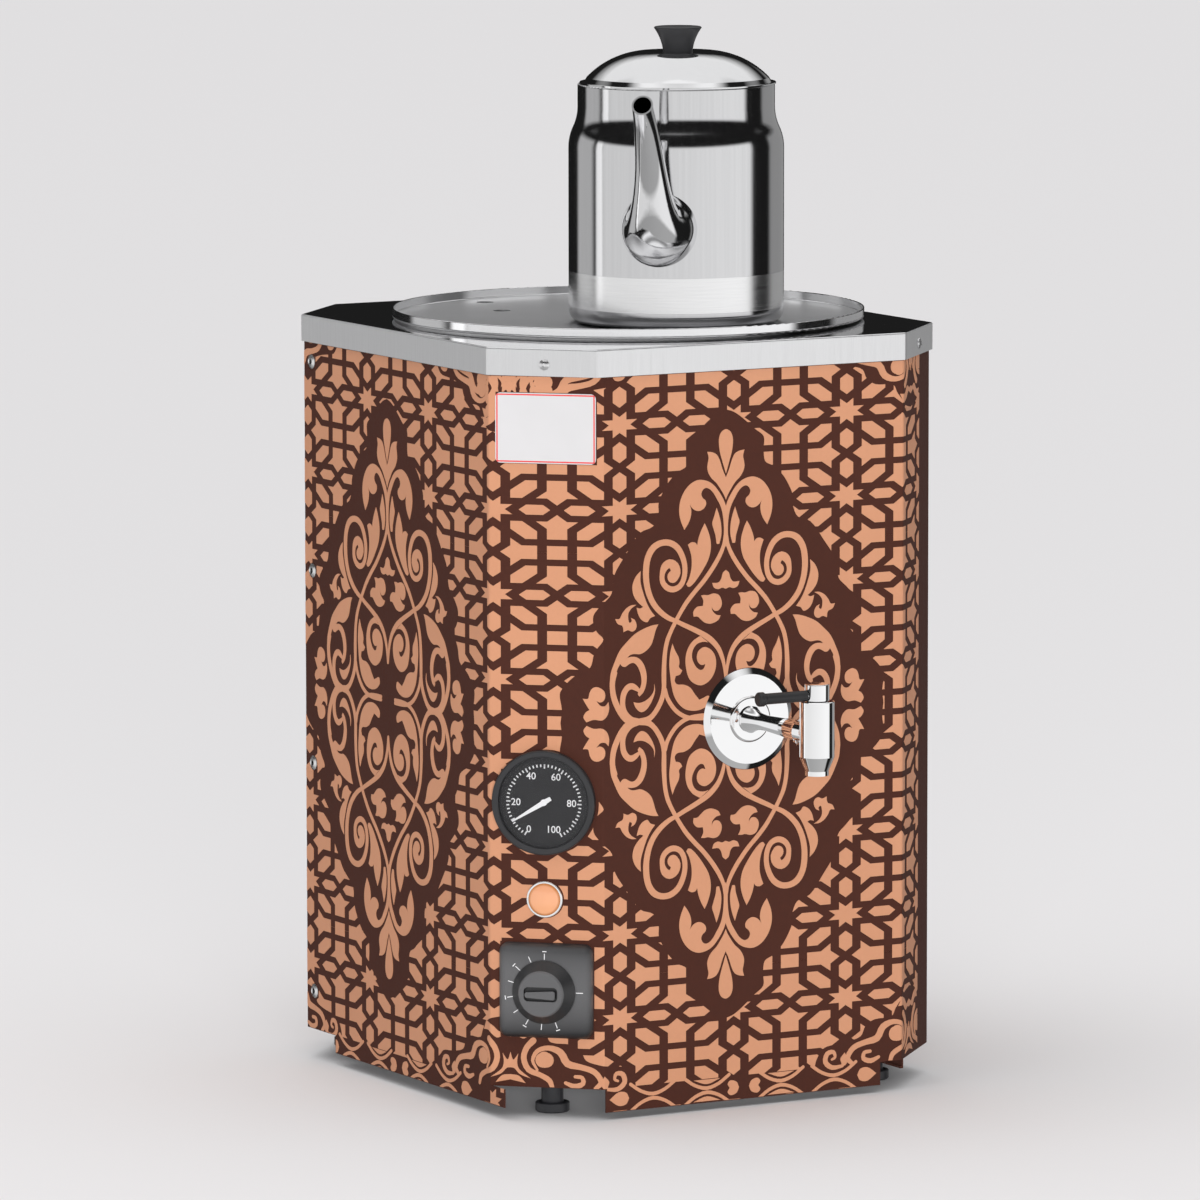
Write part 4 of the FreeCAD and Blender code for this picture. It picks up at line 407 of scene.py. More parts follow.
# Control points of a quarter medallion: millimetres out from its middle and up, with a 1
# after each corner point, or after a stroke's point its half width.
OUTLINES = {
    "bud": [(0, 166.8, 1), (1.2, 166.5), (3, 165.3), (4.3, 162.8), (4.7, 159.4), (4, 153.9), (2.4, 148.5),
        (1.1, 144.4), (0, 141, 1)],
    "calyx": [(0, 138.7, 1), (2.2, 143.5), (4.1, 148.9), (6.1, 152.3), (9, 153.8), (12.4, 154.3, 1),
        (11.5, 150.8), (12.1, 147.6), (12.4, 144.7), (11.5, 141.7), (9.5, 138.7), (6.1, 135.6), (2.9, 131.2),
        (1.1, 128.3), (0, 125.8, 1)],
    "hooked leaf and trunk": [(0, 122.1, 1), (1.5, 125.8), (4.7, 130.8), (8.8, 135.3), (13.3, 137.6),
        (18.8, 138.2), (24.2, 135.8), (28.3, 131.2), (30.6, 125.8), (31.1, 120.3), (30.1, 115.3),
        (27.7, 109.8, 1), (25.3, 113), (23.6, 116.7), (23.1, 120.8), (24.2, 124.7, 1), (22.9, 122.6),
        (20.6, 120.8), (17.9, 120.2), (15.1, 121.2), (13.3, 123.5), (13.5, 125.9), (15.6, 127.8),
        (16.4, 130.1), (15.1, 132.6), (12.6, 133.3), (9.2, 131.2), (6.1, 126.7), (3.5, 122.1), (2, 116.7),
        (1.3, 109.4), (1.3, 103), (0, 98, 1)],
    "sliver": [(6.2, 121.4, 1), (4.7, 117.6), (3.3, 112.1), (3, 105.8), (4.4, 100.3, 1), (6.1, 100.5),
        (6.7, 104.4), (8.1, 108.9), (9.1, 112.6), (7.9, 116.2)],
    "acanthus": [(14.1, 112.8, 1), (12, 108.5), (10.3, 103), (10.1, 97.6), (11.5, 92.1), (14.2, 87.4),
        (18.8, 81.2), (22.9, 77.1), (25.1, 76.5), (26.4, 78, 1), (24.4, 81.7), (22.9, 87.6), (22.9, 93.5),
        (24, 97.8), (25.3, 101, 1), (22.9, 102.3), (20.4, 101.9), (19.1, 100.3, 1), (18.3, 104.1),
        (16.5, 108.7)],
    "trefoil": [(0, 84.8, 1), (2, 83.2), (3.1, 79.8), (5, 77.8), (9.1, 77.8, 1), (7.9, 75), (5.1, 73.9),
        (2.4, 74.6), (0, 73.8, 1)],
    "flower": [(16.5, 70.9, 1), (14.2, 71.1), (12, 70.8), (8.3, 71.6), (5, 70.7), (3.1, 67.8), (2.8, 64.4),
        (4.7, 61.7), (7.4, 61.4), (9, 63), (9.5, 64.8, 1), (9, 61.7), (6.5, 59.2), (3.5, 58.5, 1),
        (5.1, 55.9), (9.7, 54.1), (13.8, 54.8), (16.5, 56.8), (18.8, 58.7), (21.5, 58.9, 1), (21.7, 61.7),
        (19.2, 64.4), (15.3, 64.7, 1), (15, 67.8)],
    "half leaf": [(56.7, 87.6, 1), (59.7, 84.8), (61.7, 81), (62.2, 77.6), (61.1, 73.2), (58.3, 69.4),
        (55, 66.7, 1), (57, 65.9), (59.4, 66.5, 1), (58.2, 62.3), (56.1, 59.2), (52.4, 57.6), (50.4, 59.8),
        (47.2, 60.9, 1), (49.9, 64.1), (52.6, 68.7), (55, 74.8), (56.8, 81.2)],
    "outer flower": [(59.5, 68.2, 1), (62.9, 68.1), (66.2, 66.5), (69, 63.5), (70.6, 60.8), (73.5, 60.8, 1),
        (72, 58), (69, 56.7, 1), (68.3, 55.3), (68.1, 52.8, 1), (65.1, 53.8), (62.4, 52.8), (60.1, 53.9),
        (59.4, 56.5), (60.8, 59.6), (63.1, 60.8, 1), (62.6, 58.9), (64.1, 58), (64.9, 60.1), (64.8, 63.5),
        (62.9, 66.2)],
    "big leaf": [(45, 55.9, 1), (46.7, 52.8), (47.9, 48.9), (49.7, 44.4), (52.9, 41.2), (57, 39.4),
        (61.1, 39.7), (63.8, 39.2), (65.6, 37.8, 1), (62.4, 38.2), (59.2, 37.6), (56.1, 35.3), (53.8, 31.2),
        (52.7, 25.8), (53.3, 20.8), (55.1, 16.8), (57.6, 14.7, 1), (58.6, 16.4), (57, 19.8), (56.2, 22.6),
        (56.5, 26.7), (57.9, 30.8), (60.1, 33.8), (62.4, 34.6), (64.7, 33.8), (67, 32.6), (68.8, 33),
        (70.3, 34.6, 1), (72.4, 30.8), (73.8, 24.8, 1), (77.1, 24.4, 1), (76.5, 29.4), (74.4, 34.8),
        (70.6, 42.1), (66.1, 46.7), (60.6, 51.2), (54.2, 54.1), (48.8, 55.6)],
    "crescent": [(47.7, 21.4, 1), (48.1, 17.1), (50.6, 13.9), (54.2, 11.7), (57.9, 11), (61.5, 11.7, 1),
        (60.4, 8.9), (58.3, 6.5), (56.1, 5.5), (53.3, 6.5), (50.6, 9.4), (48.3, 13.5), (47.2, 17.6)],
    "comma": [(17.1, 47.4, 1), (22, 44.7), (25.4, 40.3), (26.9, 34.8), (26.4, 28.5), (24.4, 22.8),
        (20.6, 19.6), (16.1, 18.5), (11.3, 20.6), (7.9, 24.8), (6.5, 30.3), (7.4, 35.6), (10.4, 39.2),
        (14.4, 40.7), (17.9, 39), (19.4, 35.6), (18.5, 32.1), (16.1, 30.3), (13.6, 30.7, 1), (15, 27.9),
        (17.4, 27.6), (20.4, 30.1), (22.6, 35.1), (21.9, 39.7), (19.2, 42.8), (15.1, 43.8), (11.5, 43.2, 1)],
    "inner leaf": [(35.6, 44.1, 1), (33.8, 39.8), (31.5, 35.8), (31, 32.6), (31.3, 30.1), (29.1, 28, 1),
        (30.6, 25.8), (33.5, 25, 1), (34.1, 22.1), (32.4, 20.1), (27.9, 19.6), (23.8, 17.6), (20.6, 13.5),
        (17.7, 10.1, 1), (15.1, 11), (11.5, 12.1), (10.6, 8.5), (14.2, 5.3), (19.7, 3.9), (26.1, 4.8),
        (30.6, 7.8), (34.2, 12.8), (36.2, 19.4), (37.1, 25.8), (37.7, 32.1), (37.1, 38.5)],
    "far flower": [(85.6, 21.7), (82.9, 21), (80.8, 19.2), (80.2, 16.2), (81.3, 13.7), (83.5, 12.8),
        (85.5, 13.7, 1), (82.9, 10.8), (80.1, 10.8), (78.1, 12.8, 1), (77.6, 8.9), (79, 4.8), (82.2, 2.4),
        (87, 2.6), (91.3, 1, 1), (93.1, 3.8), (91.8, 6.7), (89.5, 8.3, 1), (91.2, 10.8), (93.5, 14.7, 1),
        (90.4, 14.8), (89.5, 18), (88.1, 20.6)],
    "edge": [(0, 178.3, 1), (5.1, 176.7), (10.6, 173.2), (19.7, 165.8), (25.4, 161.2), (25.3, 153.9),
        (26.4, 146.7), (32.4, 143.5), (38.6, 137.6), (42.9, 130.8), (44.9, 125.8), (44.9, 120.3),
        (48.3, 113.2), (57, 109.8), (65.9, 98.5), (74.2, 86.2), (75.9, 75.8), (81.3, 70.3), (84.4, 67.1),
        (87.1, 63), (87.1, 58), (85, 53.5), (81.3, 49.4), (85, 43.9), (86.8, 40.8), (89.2, 32.8),
        (98.3, 27.6), (105.1, 20.8), (107.1, 16.7), (105.9, 8), (106.7, 0, 1), (0, 0, 1)],
}
STROKES = {
    "main stem": [(0.7, 104.8, 0.82), (1.2, 100.3, 1.09), (2.9, 95.8, 1.27), (6.1, 90.3, 1.36),
        (10.1, 84.8, 1.36), (15.1, 78.9, 1.36), (20.6, 73.5, 1.36), (26.1, 67.6, 1.36), (30.1, 62.1, 1.27),
        (33.3, 57.1, 1.27), (36.2, 52.1, 1.27), (38.8, 46.7, 1.36), (40.4, 40.3, 1.36), (41.1, 33, 1.45),
        (41.3, 25.8, 1.55), (41.3, 18.5, 1.45), (42.4, 13, 1.55), (45.1, 7.6, 1.55), (48.8, 3, 1.55),
        (52.4, 0.8, 1.82), (57, 0, 2)],
    "scroll": [(33.3, 57, 1.27), (38.3, 59.2, 1.45), (43.8, 63.2, 1.64), (48.3, 68.3, 1.73),
        (51.3, 74.4, 1.82), (52.9, 81.2, 1.91), (53.1, 88.5, 2), (51.8, 95.3, 2), (48.3, 100.6, 2),
        (43.3, 103, 1.82), (37.4, 102.8, 1.82), (32.2, 99.6, 1.82), (28.8, 93.9, 1.73), (27.3, 87.6, 1.64),
        (28.1, 81.2, 1.64), (30.8, 77.1, 1.64), (35.1, 75.6, 1.73), (39.2, 76.9, 1.73), (42.1, 80.3, 1.64),
        (42.4, 84.8, 1.64), (40.8, 88.9, 2.36), (37.6, 90.8, 2.55), (34.4, 88.9, 3), (33.5, 85.3, 3.27),
        (35.3, 83, 3.64)],
    "inner stem": [(33.3, 57.1, 1.27), (28.3, 54.6, 1.36), (22.9, 52.1, 1.45), (17, 49.2, 1.55),
        (12, 46.2, 1.73), (7.9, 42.8, 1.64), (4.7, 38.9, 1.45), (2.4, 33.9, 1.27), (1.1, 28.9, 1),
        (0, 22.1, 0.91)],
    "lower stem": [(40.8, 17.6, 1.45), (39.2, 13, 1.27), (36.5, 8.5, 1.27), (32.9, 4.4, 1.27),
        (28.3, 1.4, 1.27), (23.3, -0.2, 1.18), (16.1, -0.9, 1.09), (8.8, -0.9, 1.09)],
    "oval": [(73.5, 29.4, 1.27), (75.3, 24.8, 1.73), (75.4, 20.3, 1.73), (74.5, 15.3, 1.82),
        (72.2, 9.8, 1.82), (69.1, 4.8, 1.82), (65.1, 1, 1.82), (59.7, -0.1, 2.18)],
    "hook": [(57.4, 17.8, 0.82), (59.7, 19.6, 1.45), (62.4, 21, 1.82), (65.1, 20.5, 1.82),
        (67.6, 17.6, 1.82), (68.6, 13.9, 1.73), (68.5, 9.4, 1.64), (67, 5.3, 1.82), (63.3, 1.7, 1.82),
        (58.8, 0.1, 2)],
}


def spline(knots, steps=4, loop=False):
    """Points of a smooth curve through the knots, which are vectors of any size."""
    first = knots[-1] if loop else knots[0] * 2 - knots[1]
    if loop:
        knots = knots + [knots[0]]
    last = knots[1] if loop else knots[-1] * 2 - knots[-2]
    chain = [first, *knots, last]
    points = []
    for before, start, end, after in zip(chain, chain[1:], chain[2:], chain[3:]):
        pull = (end - start).length
        slope_a = (end - before) * (pull / max(pull + (start - before).length, 1e-6))
        slope_b = (after - start) * (pull / max(pull + (after - end).length, 1e-6))
        for step in range(steps):
            t = step / steps
            points.append(start * (2 * t ** 3 - 3 * t ** 2 + 1) + slope_a * (t ** 3 - 2 * t ** 2 + t)
                          + end * (3 * t ** 2 - 2 * t ** 3) + slope_b * (t ** 3 - t ** 2))
    if not loop:
        points.append(knots[-1])
    return points


def smooth_outline(points):
    """Closed outline through the points, sharp at those marked with a 1."""
    corners = [index for index, point in enumerate(points) if len(point) > 2]
    flat = [Vector(point[:2]) for point in points]
    if not corners:
        return spline(flat, loop=True)
    outline = []
    for start, end in zip(corners, corners[1:] + [corners[0] + len(flat)]):
        run = [flat[index % len(flat)] for index in range(start, end + 1)]
        outline += spline(run)[:-1] if len(run) > 2 else run[:-1]
    return outline


def ribbon(points, half):
    """Outline of a band of straight pieces with mitred bends."""
    sides = ([], [])
    for index, point in enumerate(points):
        before = (point - points[index - 1]).normalized() if index else None
        after = (points[index + 1] - point).normalized() if index + 1 < len(points) else before
        before = before or after
        across = Vector((-before.y - after.y, before.x + after.x)).normalized()
        across *= half / max(across.dot(Vector((-after.y, after.x))), 0.3)
        sides[0].append(point + across)
        sides[1].append(point - across)
    return sides[0] + sides[1][::-1]


def star_cell():
    """Bands of one cell of the strapwork round a star, in a cell of equal sides."""
    half = CELL / 2
    angled = [(0, half), (4.8, 20.1), (4.8, 4.8), (20.1, 4.8), (half, 0)]
    chevron = [(-half, 18.9), (-11.7, 18.9), (0, 7.25), (11.7, 18.9), (half, 18.9)]
    corners, bands = [], []
    for turn in range(4):
        spin = Matrix.Rotation(math.radians(90 * turn), 2)
        for path in (angled, chevron):
            band = ribbon([spin @ Vector(point) for point in path], STRAP)
            bands.append(range(len(corners), len(corners) + len(band)))
            corners += [(point.x * CELL_STRETCH, point.y, 0) for point in band]
    mesh = bpy.data.meshes.new("star_cell")
    mesh.from_pydata(corners, [], bands)
    return mesh


def strapwork(columns, rows, finish):
    """Bands of a whole field of cells, as closed outlines round the middle cell."""
    cell = bpy.data.objects.new("star_cell", star_cell())
    tree = Tree("strapwork", Columns=columns, Rows=rows, Pitch=CELL * CELL_STRETCH, Rise=CELL)
    size = tree.size
    spots = tree.add("GeometryNodeMeshGrid", Size_X=size["Pitch"] * (size["Columns"] - 1.0),
                     Size_Y=size["Rise"] * (size["Rows"] - 1.0),
                     Vertices_X=size["Columns"], Vertices_Y=size["Rows"])
    cells = tree.add("GeometryNodeObjectInfo", Object=cell, output="Geometry")
    mesh = tree.mesh(finish, tree.add("GeometryNodeInstanceOnPoints", Points=spots, Instance=cells))
    return [[mesh.vertices[index].co.xy for index in face.vertices] for face in mesh.polygons]


# The same for half a corner scroll, out from the tile's edge and up from the floor, and
# for a quarter of the skirt's rings, from the middle of the skirt.
CORNER_OUTLINES = {
    "edge": [(0, 60, 1), (14, 57), (21, 50), (24, 45), (36, 44), (42, 40.5), (45, 35), (53, 32.5),
        (60, 31.5), (70, 30), (75, 24), (77, 17.5, 1), (77, 8, 1), (0, 8, 1)],
    "fleur": [(0, 38.5, 1), (1.7, 34), (4.7, 37.8, 1), (4, 32.6), (5.2, 28.6), (12, 23.3, 1), (5.6, 25.6),
        (2.2, 29), (0, 29.4, 1)],
    "wing": [(0, 52, 1), (6, 50), (11, 54), (16.6, 56, 1), (19.4, 50.5, 1), (13.5, 50.5), (8.2, 46.6),
        (4, 48), (0, 47.4, 1)],
    "root": [(0, 22.3, 1), (9, 20.4, 1), (5, 24.6), (0, 25.4, 1)],
    "tip": [(56, 26, 1), (59, 22.5), (58.2, 19.2), (61, 17.5, 1), (55.5, 18.6), (53.6, 22, 1)],
}
CORNER_STROKES = {
    "bulb": [(19.2, 34.3, 4.4), (20.2, 34.6, 4.8), (21.4, 34.4, 4.4)],
    "ring": [(16, 28.4, 0.7), (13.2, 33.9, 1), (16, 39.5, 1.3), (22.6, 41.6, 1.5), (29.8, 39.2, 2.1),
        (33.9, 32.8, 2.2), (41.8, 31, 1.7), (50, 28.4, 1.7), (54, 22.6, 1.6), (50.6, 18.6, 1.2)],
    "stem": [(25, 18, 1.2), (23.2, 22.4, 1.6), (17.6, 25.6, 1.5), (10.8, 28.4, 1.7), (7.9, 35.1, 1.7),
        (9.6, 41.2, 1.7), (13.6, 45.6, 1.9)],
    "curl": [(38.6, 25.3, 1), (42.6, 24.8, 1.2), (43.2, 21.4, 1.4), (38.2, 19.6, 1.5), (32.8, 21.4, 1)],
    "end": [(57.6, 18.2, 0.9), (64.6, 17.8, 1.4), (69.2, 21.4, 1.6), (68, 26.2, 1.5), (63.8, 27, 1.2),
        (62.6, 23.8, 0.9), (64.8, 22.6, 0.7)],
}
SKIRT_OUTLINES = {
    "edge": [(0, 0, 1), (100, 0, 1), (100, 6.8, 1), (0, 6.8, 1)],
    "drop": [(3.4, 0, 1), (5, 3.2), (9, 4.4), (11, 2.4), (9.6, 0, 1)],
    "petal": [(16, 6.4, 1), (25, 3.6), (34, 6.4, 1)],
    "bud": [(77, 0, 1), (79, 3.4), (84, 4), (90, 0, 1)],
}
SKIRT_STROKES = {
    "inner ring": [(10, 8, 1), (17, 3.4, 1), (25, 1.2, 1.1), (33, 3.4, 1), (40, 8, 1)],
    "outer ring": [(46, 8, 1), (53, 3.4, 1), (61, 1.2, 1.1), (69, 3.4, 1), (76, 8, 1)],
}


class Drawing:
    """Flat shapes on a developed sheet, cut into triangles together."""

    def __init__(self, left, right, high):
        self.points, self.shapes, self.kinds = [], [], []
        self.left, self.right, self.high = left, right, high

    def shape(self, kind, outline):
        xs, zs = zip(*outline)
        if max(xs) < self.left or min(xs) > self.right or min(zs) > self.high or max(zs) < 0:
            return
        area = sum(a.x * b.y - b.x * a.y for a, b in zip(outline, outline[1:] + outline[:1]))
        start = len(self.points)
        self.points += outline if area > 0 else outline[::-1]
        self.shapes.append(list(range(start, len(self.points))))
        self.kinds.append(kind)

    def box(self, kind, left, right, low, high):
        self.shape(kind, [Vector(p) for p in ((left, low), (right, low), (right, high), (left, high))])

    def circle(self, kind, x, z, radius, count=48):
        angles = [2 * math.pi * index / count for index in range(count)]
        self.shape(kind, [Vector((x + radius * math.cos(a), z + radius * math.sin(a))) for a in angles])

    def stroke(self, kind, points, carry):
        """Band of changing width with round ends, through (out, up, half width)."""
        path = spline([Vector(point) for point in points], 3)
        edges = []
        for index, here in enumerate(path):
            along = (path[min(index + 1, len(path) - 1)] - path[max(index - 1, 0)]).xy.normalized()
            across = Vector((-along.y, along.x)) * here.z
            edges.append((carry(here.xy + across), carry(here.xy - across)))
        for (left, right), (next_left, next_right) in zip(edges, edges[1:]):
            self.shape(kind, [left, next_left, next_right, right])
        for end in (path[0], path[-1]):
            spot = carry(end.xy)
            self.circle(kind, spot.x, spot.y, end.z, 16)

    def figure(self, x, z, outlines, strokes, ups):
        """Both halves of an ornament about x, upright or upside down from z."""
        for side in (-1, 1):
            for up in ups:
                def carry(point):
                    return Vector((x + side * point.x, z + up * point.y))
                for name, points in outlines.items():
                    outline = smooth_outline(points)
                    if name == "flower" and side == 1:
                        outline = [Vector((FLOWER_TURN - point.x, point.y)) for point in outline]
                    self.shape("field" if name == "edge" else "ornament", [carry(point) for point in outline])
                for points in strokes.values():
                    self.stroke("ornament", points, carry)

    def medallion(self, x, z):
        """Medallion, the corner scrolls of its tile, and the rings on the skirt below."""
        self.figure(x, z, OUTLINES, STROKES, (-1, 1))
        for place in (x - TILE / 2, x + TILE / 2):
            self.figure(place, 0, CORNER_OUTLINES, CORNER_STROKES, (1,))
            self.figure(place, 2 * z, CORNER_OUTLINES, CORNER_STROKES, (-1,))
        self.figure(x + RING_OFFSET, RING_LEVEL, SKIRT_OUTLINES, SKIRT_STROKES, (-1, 1))

    def inside(self, kind, spots):
        """Which of the spots lie within a shape of this kind."""
        found = np.zeros(len(spots), bool)
        order = np.argsort(spots[:, 0])
        ranked = spots[order]
        for shape in [shape for shape, own in zip(self.shapes, self.kinds) if own == kind]:
            start = np.array([self.points[index] for index in shape])
            end = np.roll(start, -1, 0)
            low, high = np.searchsorted(ranked[:, 0], (start[:, 0].min(), start[:, 0].max()))
            level = ranked[low:high, 1]
            near = low + np.flatnonzero((level > start[:, 1].min()) & (level < start[:, 1].max()))
            x, y = ranked[near, :1], ranked[near, 1:]
            run, climb = (end - start).T
            side = run * (y - start[:, 1]) - (x - start[:, 0]) * climb
            rising = (start[:, 1] <= y) & (end[:, 1] > y) & (side > 0)
            falling = (start[:, 1] > y) & (end[:, 1] <= y) & (side < 0)
            found[order[near]] |= rising.sum(1) != falling.sum(1)
        return found

    def raised(self):
        """Corners and triangles that stand proud of the coat."""
        edges = [pair for shape in self.shapes for pair in zip(shape, shape[1:] + shape[:1])]
        points, _, faces, *_ = delaunay_2d_cdt(self.points, edges, [], 0, MERGE)
        spots = np.array([point[:] for point in points])[np.array(faces)].mean(1)
        proud = ~(self.inside("field", spots) | self.inside("strap", spots)) | self.inside("ornament", spots)
        kept = self.inside("panel", spots) & ~self.inside("bare", spots) & proud
        return points, [face for face, keep in zip(faces, kept) if keep]


class Sheet:
    """A bent sheet: maps its developed length and height to the outside of the casing."""

    def __init__(self, corners, start):
        corners = [Vector(corner) for corner in corners]
        self.length = [start]
        self.spots = [corners[0]]
        for before, corner, after in zip(corners, corners[1:], corners[2:]):
            a, b = (corner - before).normalized(), (after - corner).normalized()
            half = a.angle(b) / 2
            arm = OUTER_BEND * math.tan(half)
            deep = (b - a).normalized() * OUTER_BEND * (1 / math.cos(half) - 1)
            at = self.length[-1] + (corner - self.spots[-1]).length
            self.length += [at - arm, at, at + arm]
            self.spots += [corner - a * arm, corner + deep, corner + b * arm]
        self.length.append(self.length[-1] + (corners[-1] - self.spots[-1]).length)
        self.spots.append(corners[-1])

    def panels(self, drawing, low, high):
        for left, right in zip(self.length, self.length[1:]):
            drawing.box("panel", left, right, low, high)

    def spot(self, length, height, lift):
        index = max(i for i, start in enumerate(self.length[:-1]) if i == 0 or start <= length + 0.0002)
        share = (length - self.length[index]) / (self.length[index + 1] - self.length[index])
        along = (self.spots[index + 1] - self.spots[index]).normalized()
        out = Vector((along.y, -along.x))
        if share < MERGE and index > 0:
            before = (self.spots[index] - self.spots[index - 1]).normalized()
            out = (out + Vector((before.y, -before.x))).normalized()
        flat = self.spots[index].lerp(self.spots[index + 1], share) + out * lift
        return Vector((flat.x, flat.y + AXIS_Y, height)) * MM


def shared_corners(faces):
    """Corner of each face at each point, shared by faces that join there, and the free edges."""
    beside = {}
    for number, face in enumerate(faces):
        for edge in zip(face, face[1:] + face[:1]):
            beside.setdefault(frozenset(edge), []).append(number)
    same = {}

    def first(key):
        while same.get(key, key) != key:
            same[key] = same.get(same[key], same[key])
            key = same[key]
        return key

    for edge, pair in beside.items():
        for point in edge if len(pair) == 2 else ():
            same[first((pair[0], point))] = first((pair[1], point))
    corners = {(number, point): first((number, point)) for number, face in enumerate(faces) for point in face}
    return corners, {edge for edge, pair in beside.items() if len(pair) == 1}


def relief(name, drawing, sheet):
    """Closed layer of the drawing's raised parts on the bent sheet."""
    points, faces = drawing.raised()
    corners, free = shared_corners(faces)
    index_of = {key: 2 * index for index, key in enumerate(dict.fromkeys(corners.values()))}
    spots = []
    for _, point in index_of:
        spots += [sheet.spot(*points[point], lift) for lift in (PRINT_ROOT, PRINT_HEIGHT)]
    skins = []
    for number, face in enumerate(faces):
        low = [index_of[corners[number, point]] for point in face]
        skins += [[index + 1 for index in low], low[::-1]]
        for a, b, edge in zip(low, low[1:] + low[:1], zip(face, face[1:] + face[:1])):
            if frozenset(edge) in free:
                skins.append([a, b, b + 1, a + 1])
    mesh = bpy.data.meshes.new(name)
    mesh.from_pydata(spots, [], skins)
    return mesh


copper = Finish("copper_print", (0.6, 0.27, 0.15), 0.5, specular_ior_level=0.9)
speckle = copper.noise(500, 4, rough=0.7)
shade = copper.noise(14, 3)
copper.set("Base Color", copper.mix((0.54, 0.235, 0.12), (0.66, 0.31, 0.17), speckle * 0.5 + shade * 0.5))
copper.set("Roughness", (speckle * 0.2 + 0.42).clamped())
copper.bump(speckle, 0.00003, 0.5)
straps = strapwork(9, 11, copper)
GAUGE_SLANT = math.hypot(GAUGE_LEG_X, GAUGE_LEG_Y)
GAUGE_MIDDLE = -HALF_X + GAUGE_LEG_X - GAUGE_SLANT / 2
LEFT_BEND = GAUGE_MIDDLE - GAUGE_SLANT / 2
LEFT_START = LEFT_BEND - (2 * HALF_Y - GAUGE_LEG_Y - LEG)
STAR_X = 63.8 - 2 * CELL * CELL_STRETCH


def printed(name, sheet, star_x, medallions, skirts, bare, high=PRINT_HIGH):
    """One sheet's print; spots to leave bare are circles (x, z, radius) or boxes."""
    drawing = Drawing(sheet.length[0], sheet.length[-1], high)
    if high > PRINT_LOW:
        sheet.panels(drawing, PRINT_LOW, high)
    for left, right, low in skirts:
        drawing.box("panel", left, right, low, PRINT_LOW)
    for band in straps:
        drawing.shape("strap", [point + Vector((star_x, STAR_LEVEL)) for point in band])
    for x, z in medallions:
        drawing.medallion(x, z)
    for spot in bare:
        (drawing.box if len(spot) == 4 else drawing.circle)("bare", *spot)
    finished(name, relief(name, drawing, sheet), copper)


def spot_on(name, place, across=None):
    """Bare circle round a fitting, or a box if its width is given, at a developed place."""
    low, high = (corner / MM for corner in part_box(name))
    level, half = (low.z + high.z) / 2, (high.z - low.z) / 2 + BARE_GAP
    if across is None:
        return place, level, half
    side = across / 2 + BARE_GAP
    return place - side, place + side, level - half, level + half


def rivet_spots(seam):
    """Bare circles round the rivets of a seam at a developed place."""
    return [(seam + RIVET_INSET, z, RIVET_BARE) for z in RIVET_HEIGHTS]


front_sheet = Sheet([(-HALF_X, HALF_Y - LEG - 0.3), (-HALF_X, -HALF_Y + GAUGE_LEG_Y),
                     (-HALF_X + GAUGE_LEG_X, -HALF_Y), (HALF_X - LEG, -HALF_Y),
                     (HALF_X - 19.0, -HALF_Y + LEG - 19.0)], LEFT_START)
printed("front_print", front_sheet, STAR_X, [(-17.4, MEDALLION_LEVEL), (-291.0, 229.2)],
        [(LEFT_START + 36.3, LEFT_BEND - 0.9, SKIRT_LOW), (-96.6, 88.0, TAP_SKIRT_LOW)],
        [spot_on("tap_rosette", -2.5), spot_on("thermometer_case", GAUGE_MIDDLE),
         spot_on("lamp_holder", GAUGE_MIDDLE - 0.9),
         spot_on("thermostat_plate", GAUGE_MIDDLE, across=55.4),
         spot_on("badge_plate", GAUGE_MIDDLE, across=59.3), *rivet_spots(LEFT_START)])
overrun = Sheet([(-HALF_X, -HALF_Y + GAUGE_LEG_Y), (-HALF_X, -HALF_Y + GAUGE_LEG_Y - OVERRUN)], LEFT_BEND)
printed("overrun_print", overrun, STAR_X, [], [(LEFT_BEND, LEFT_BEND + OVERRUN, SKIRT_LOW)], [], PRINT_LOW)
rear_sheet = Sheet([(HALF_X, -HALF_Y + LEG + 1.4), (HALF_X, HALF_Y - LEG), (HALF_X - LEG, HALF_Y),
                    (-HALF_X + LEG, HALF_Y), (-HALF_X + 1.5, HALF_Y - LEG + 1.5)], 1.4)
SIDE_MIDDLE = HALF_Y - LEG  # the rear sheet is developed from the right side's front edge
REAR_MIDDLE = 2 * SIDE_MIDDLE + LEG * math.sqrt(2) + HALF_X - LEG
printed("rear_print", rear_sheet, SIDE_MIDDLE + CELL * CELL_STRETCH * 1.5 + 5.0,
        [(SIDE_MIDDLE, MEDALLION_LEVEL), (REAR_MIDDLE, MEDALLION_LEVEL)],
        [(SIDE_MIDDLE - 88, SIDE_MIDDLE + 88, SKIRT_LOW), (REAR_MIDDLE - 92, REAR_MIDDLE + 92, SKIRT_LOW)],
        [spot_on("cable_gland", REAR_MIDDLE + 70.0), *rivet_spots(0)])


# Pilot lamp.
# A domed amber lens in a thin chrome ring, held by a nut behind the panel.

def on_panel(finish, name):
    """Shader values for how far right and up a point is from the middle of a panel fitting."""
    offset = finish.offset(middle(name))
    return finish.along(offset, PANEL_RIGHT), finish.part(offset, "Z")


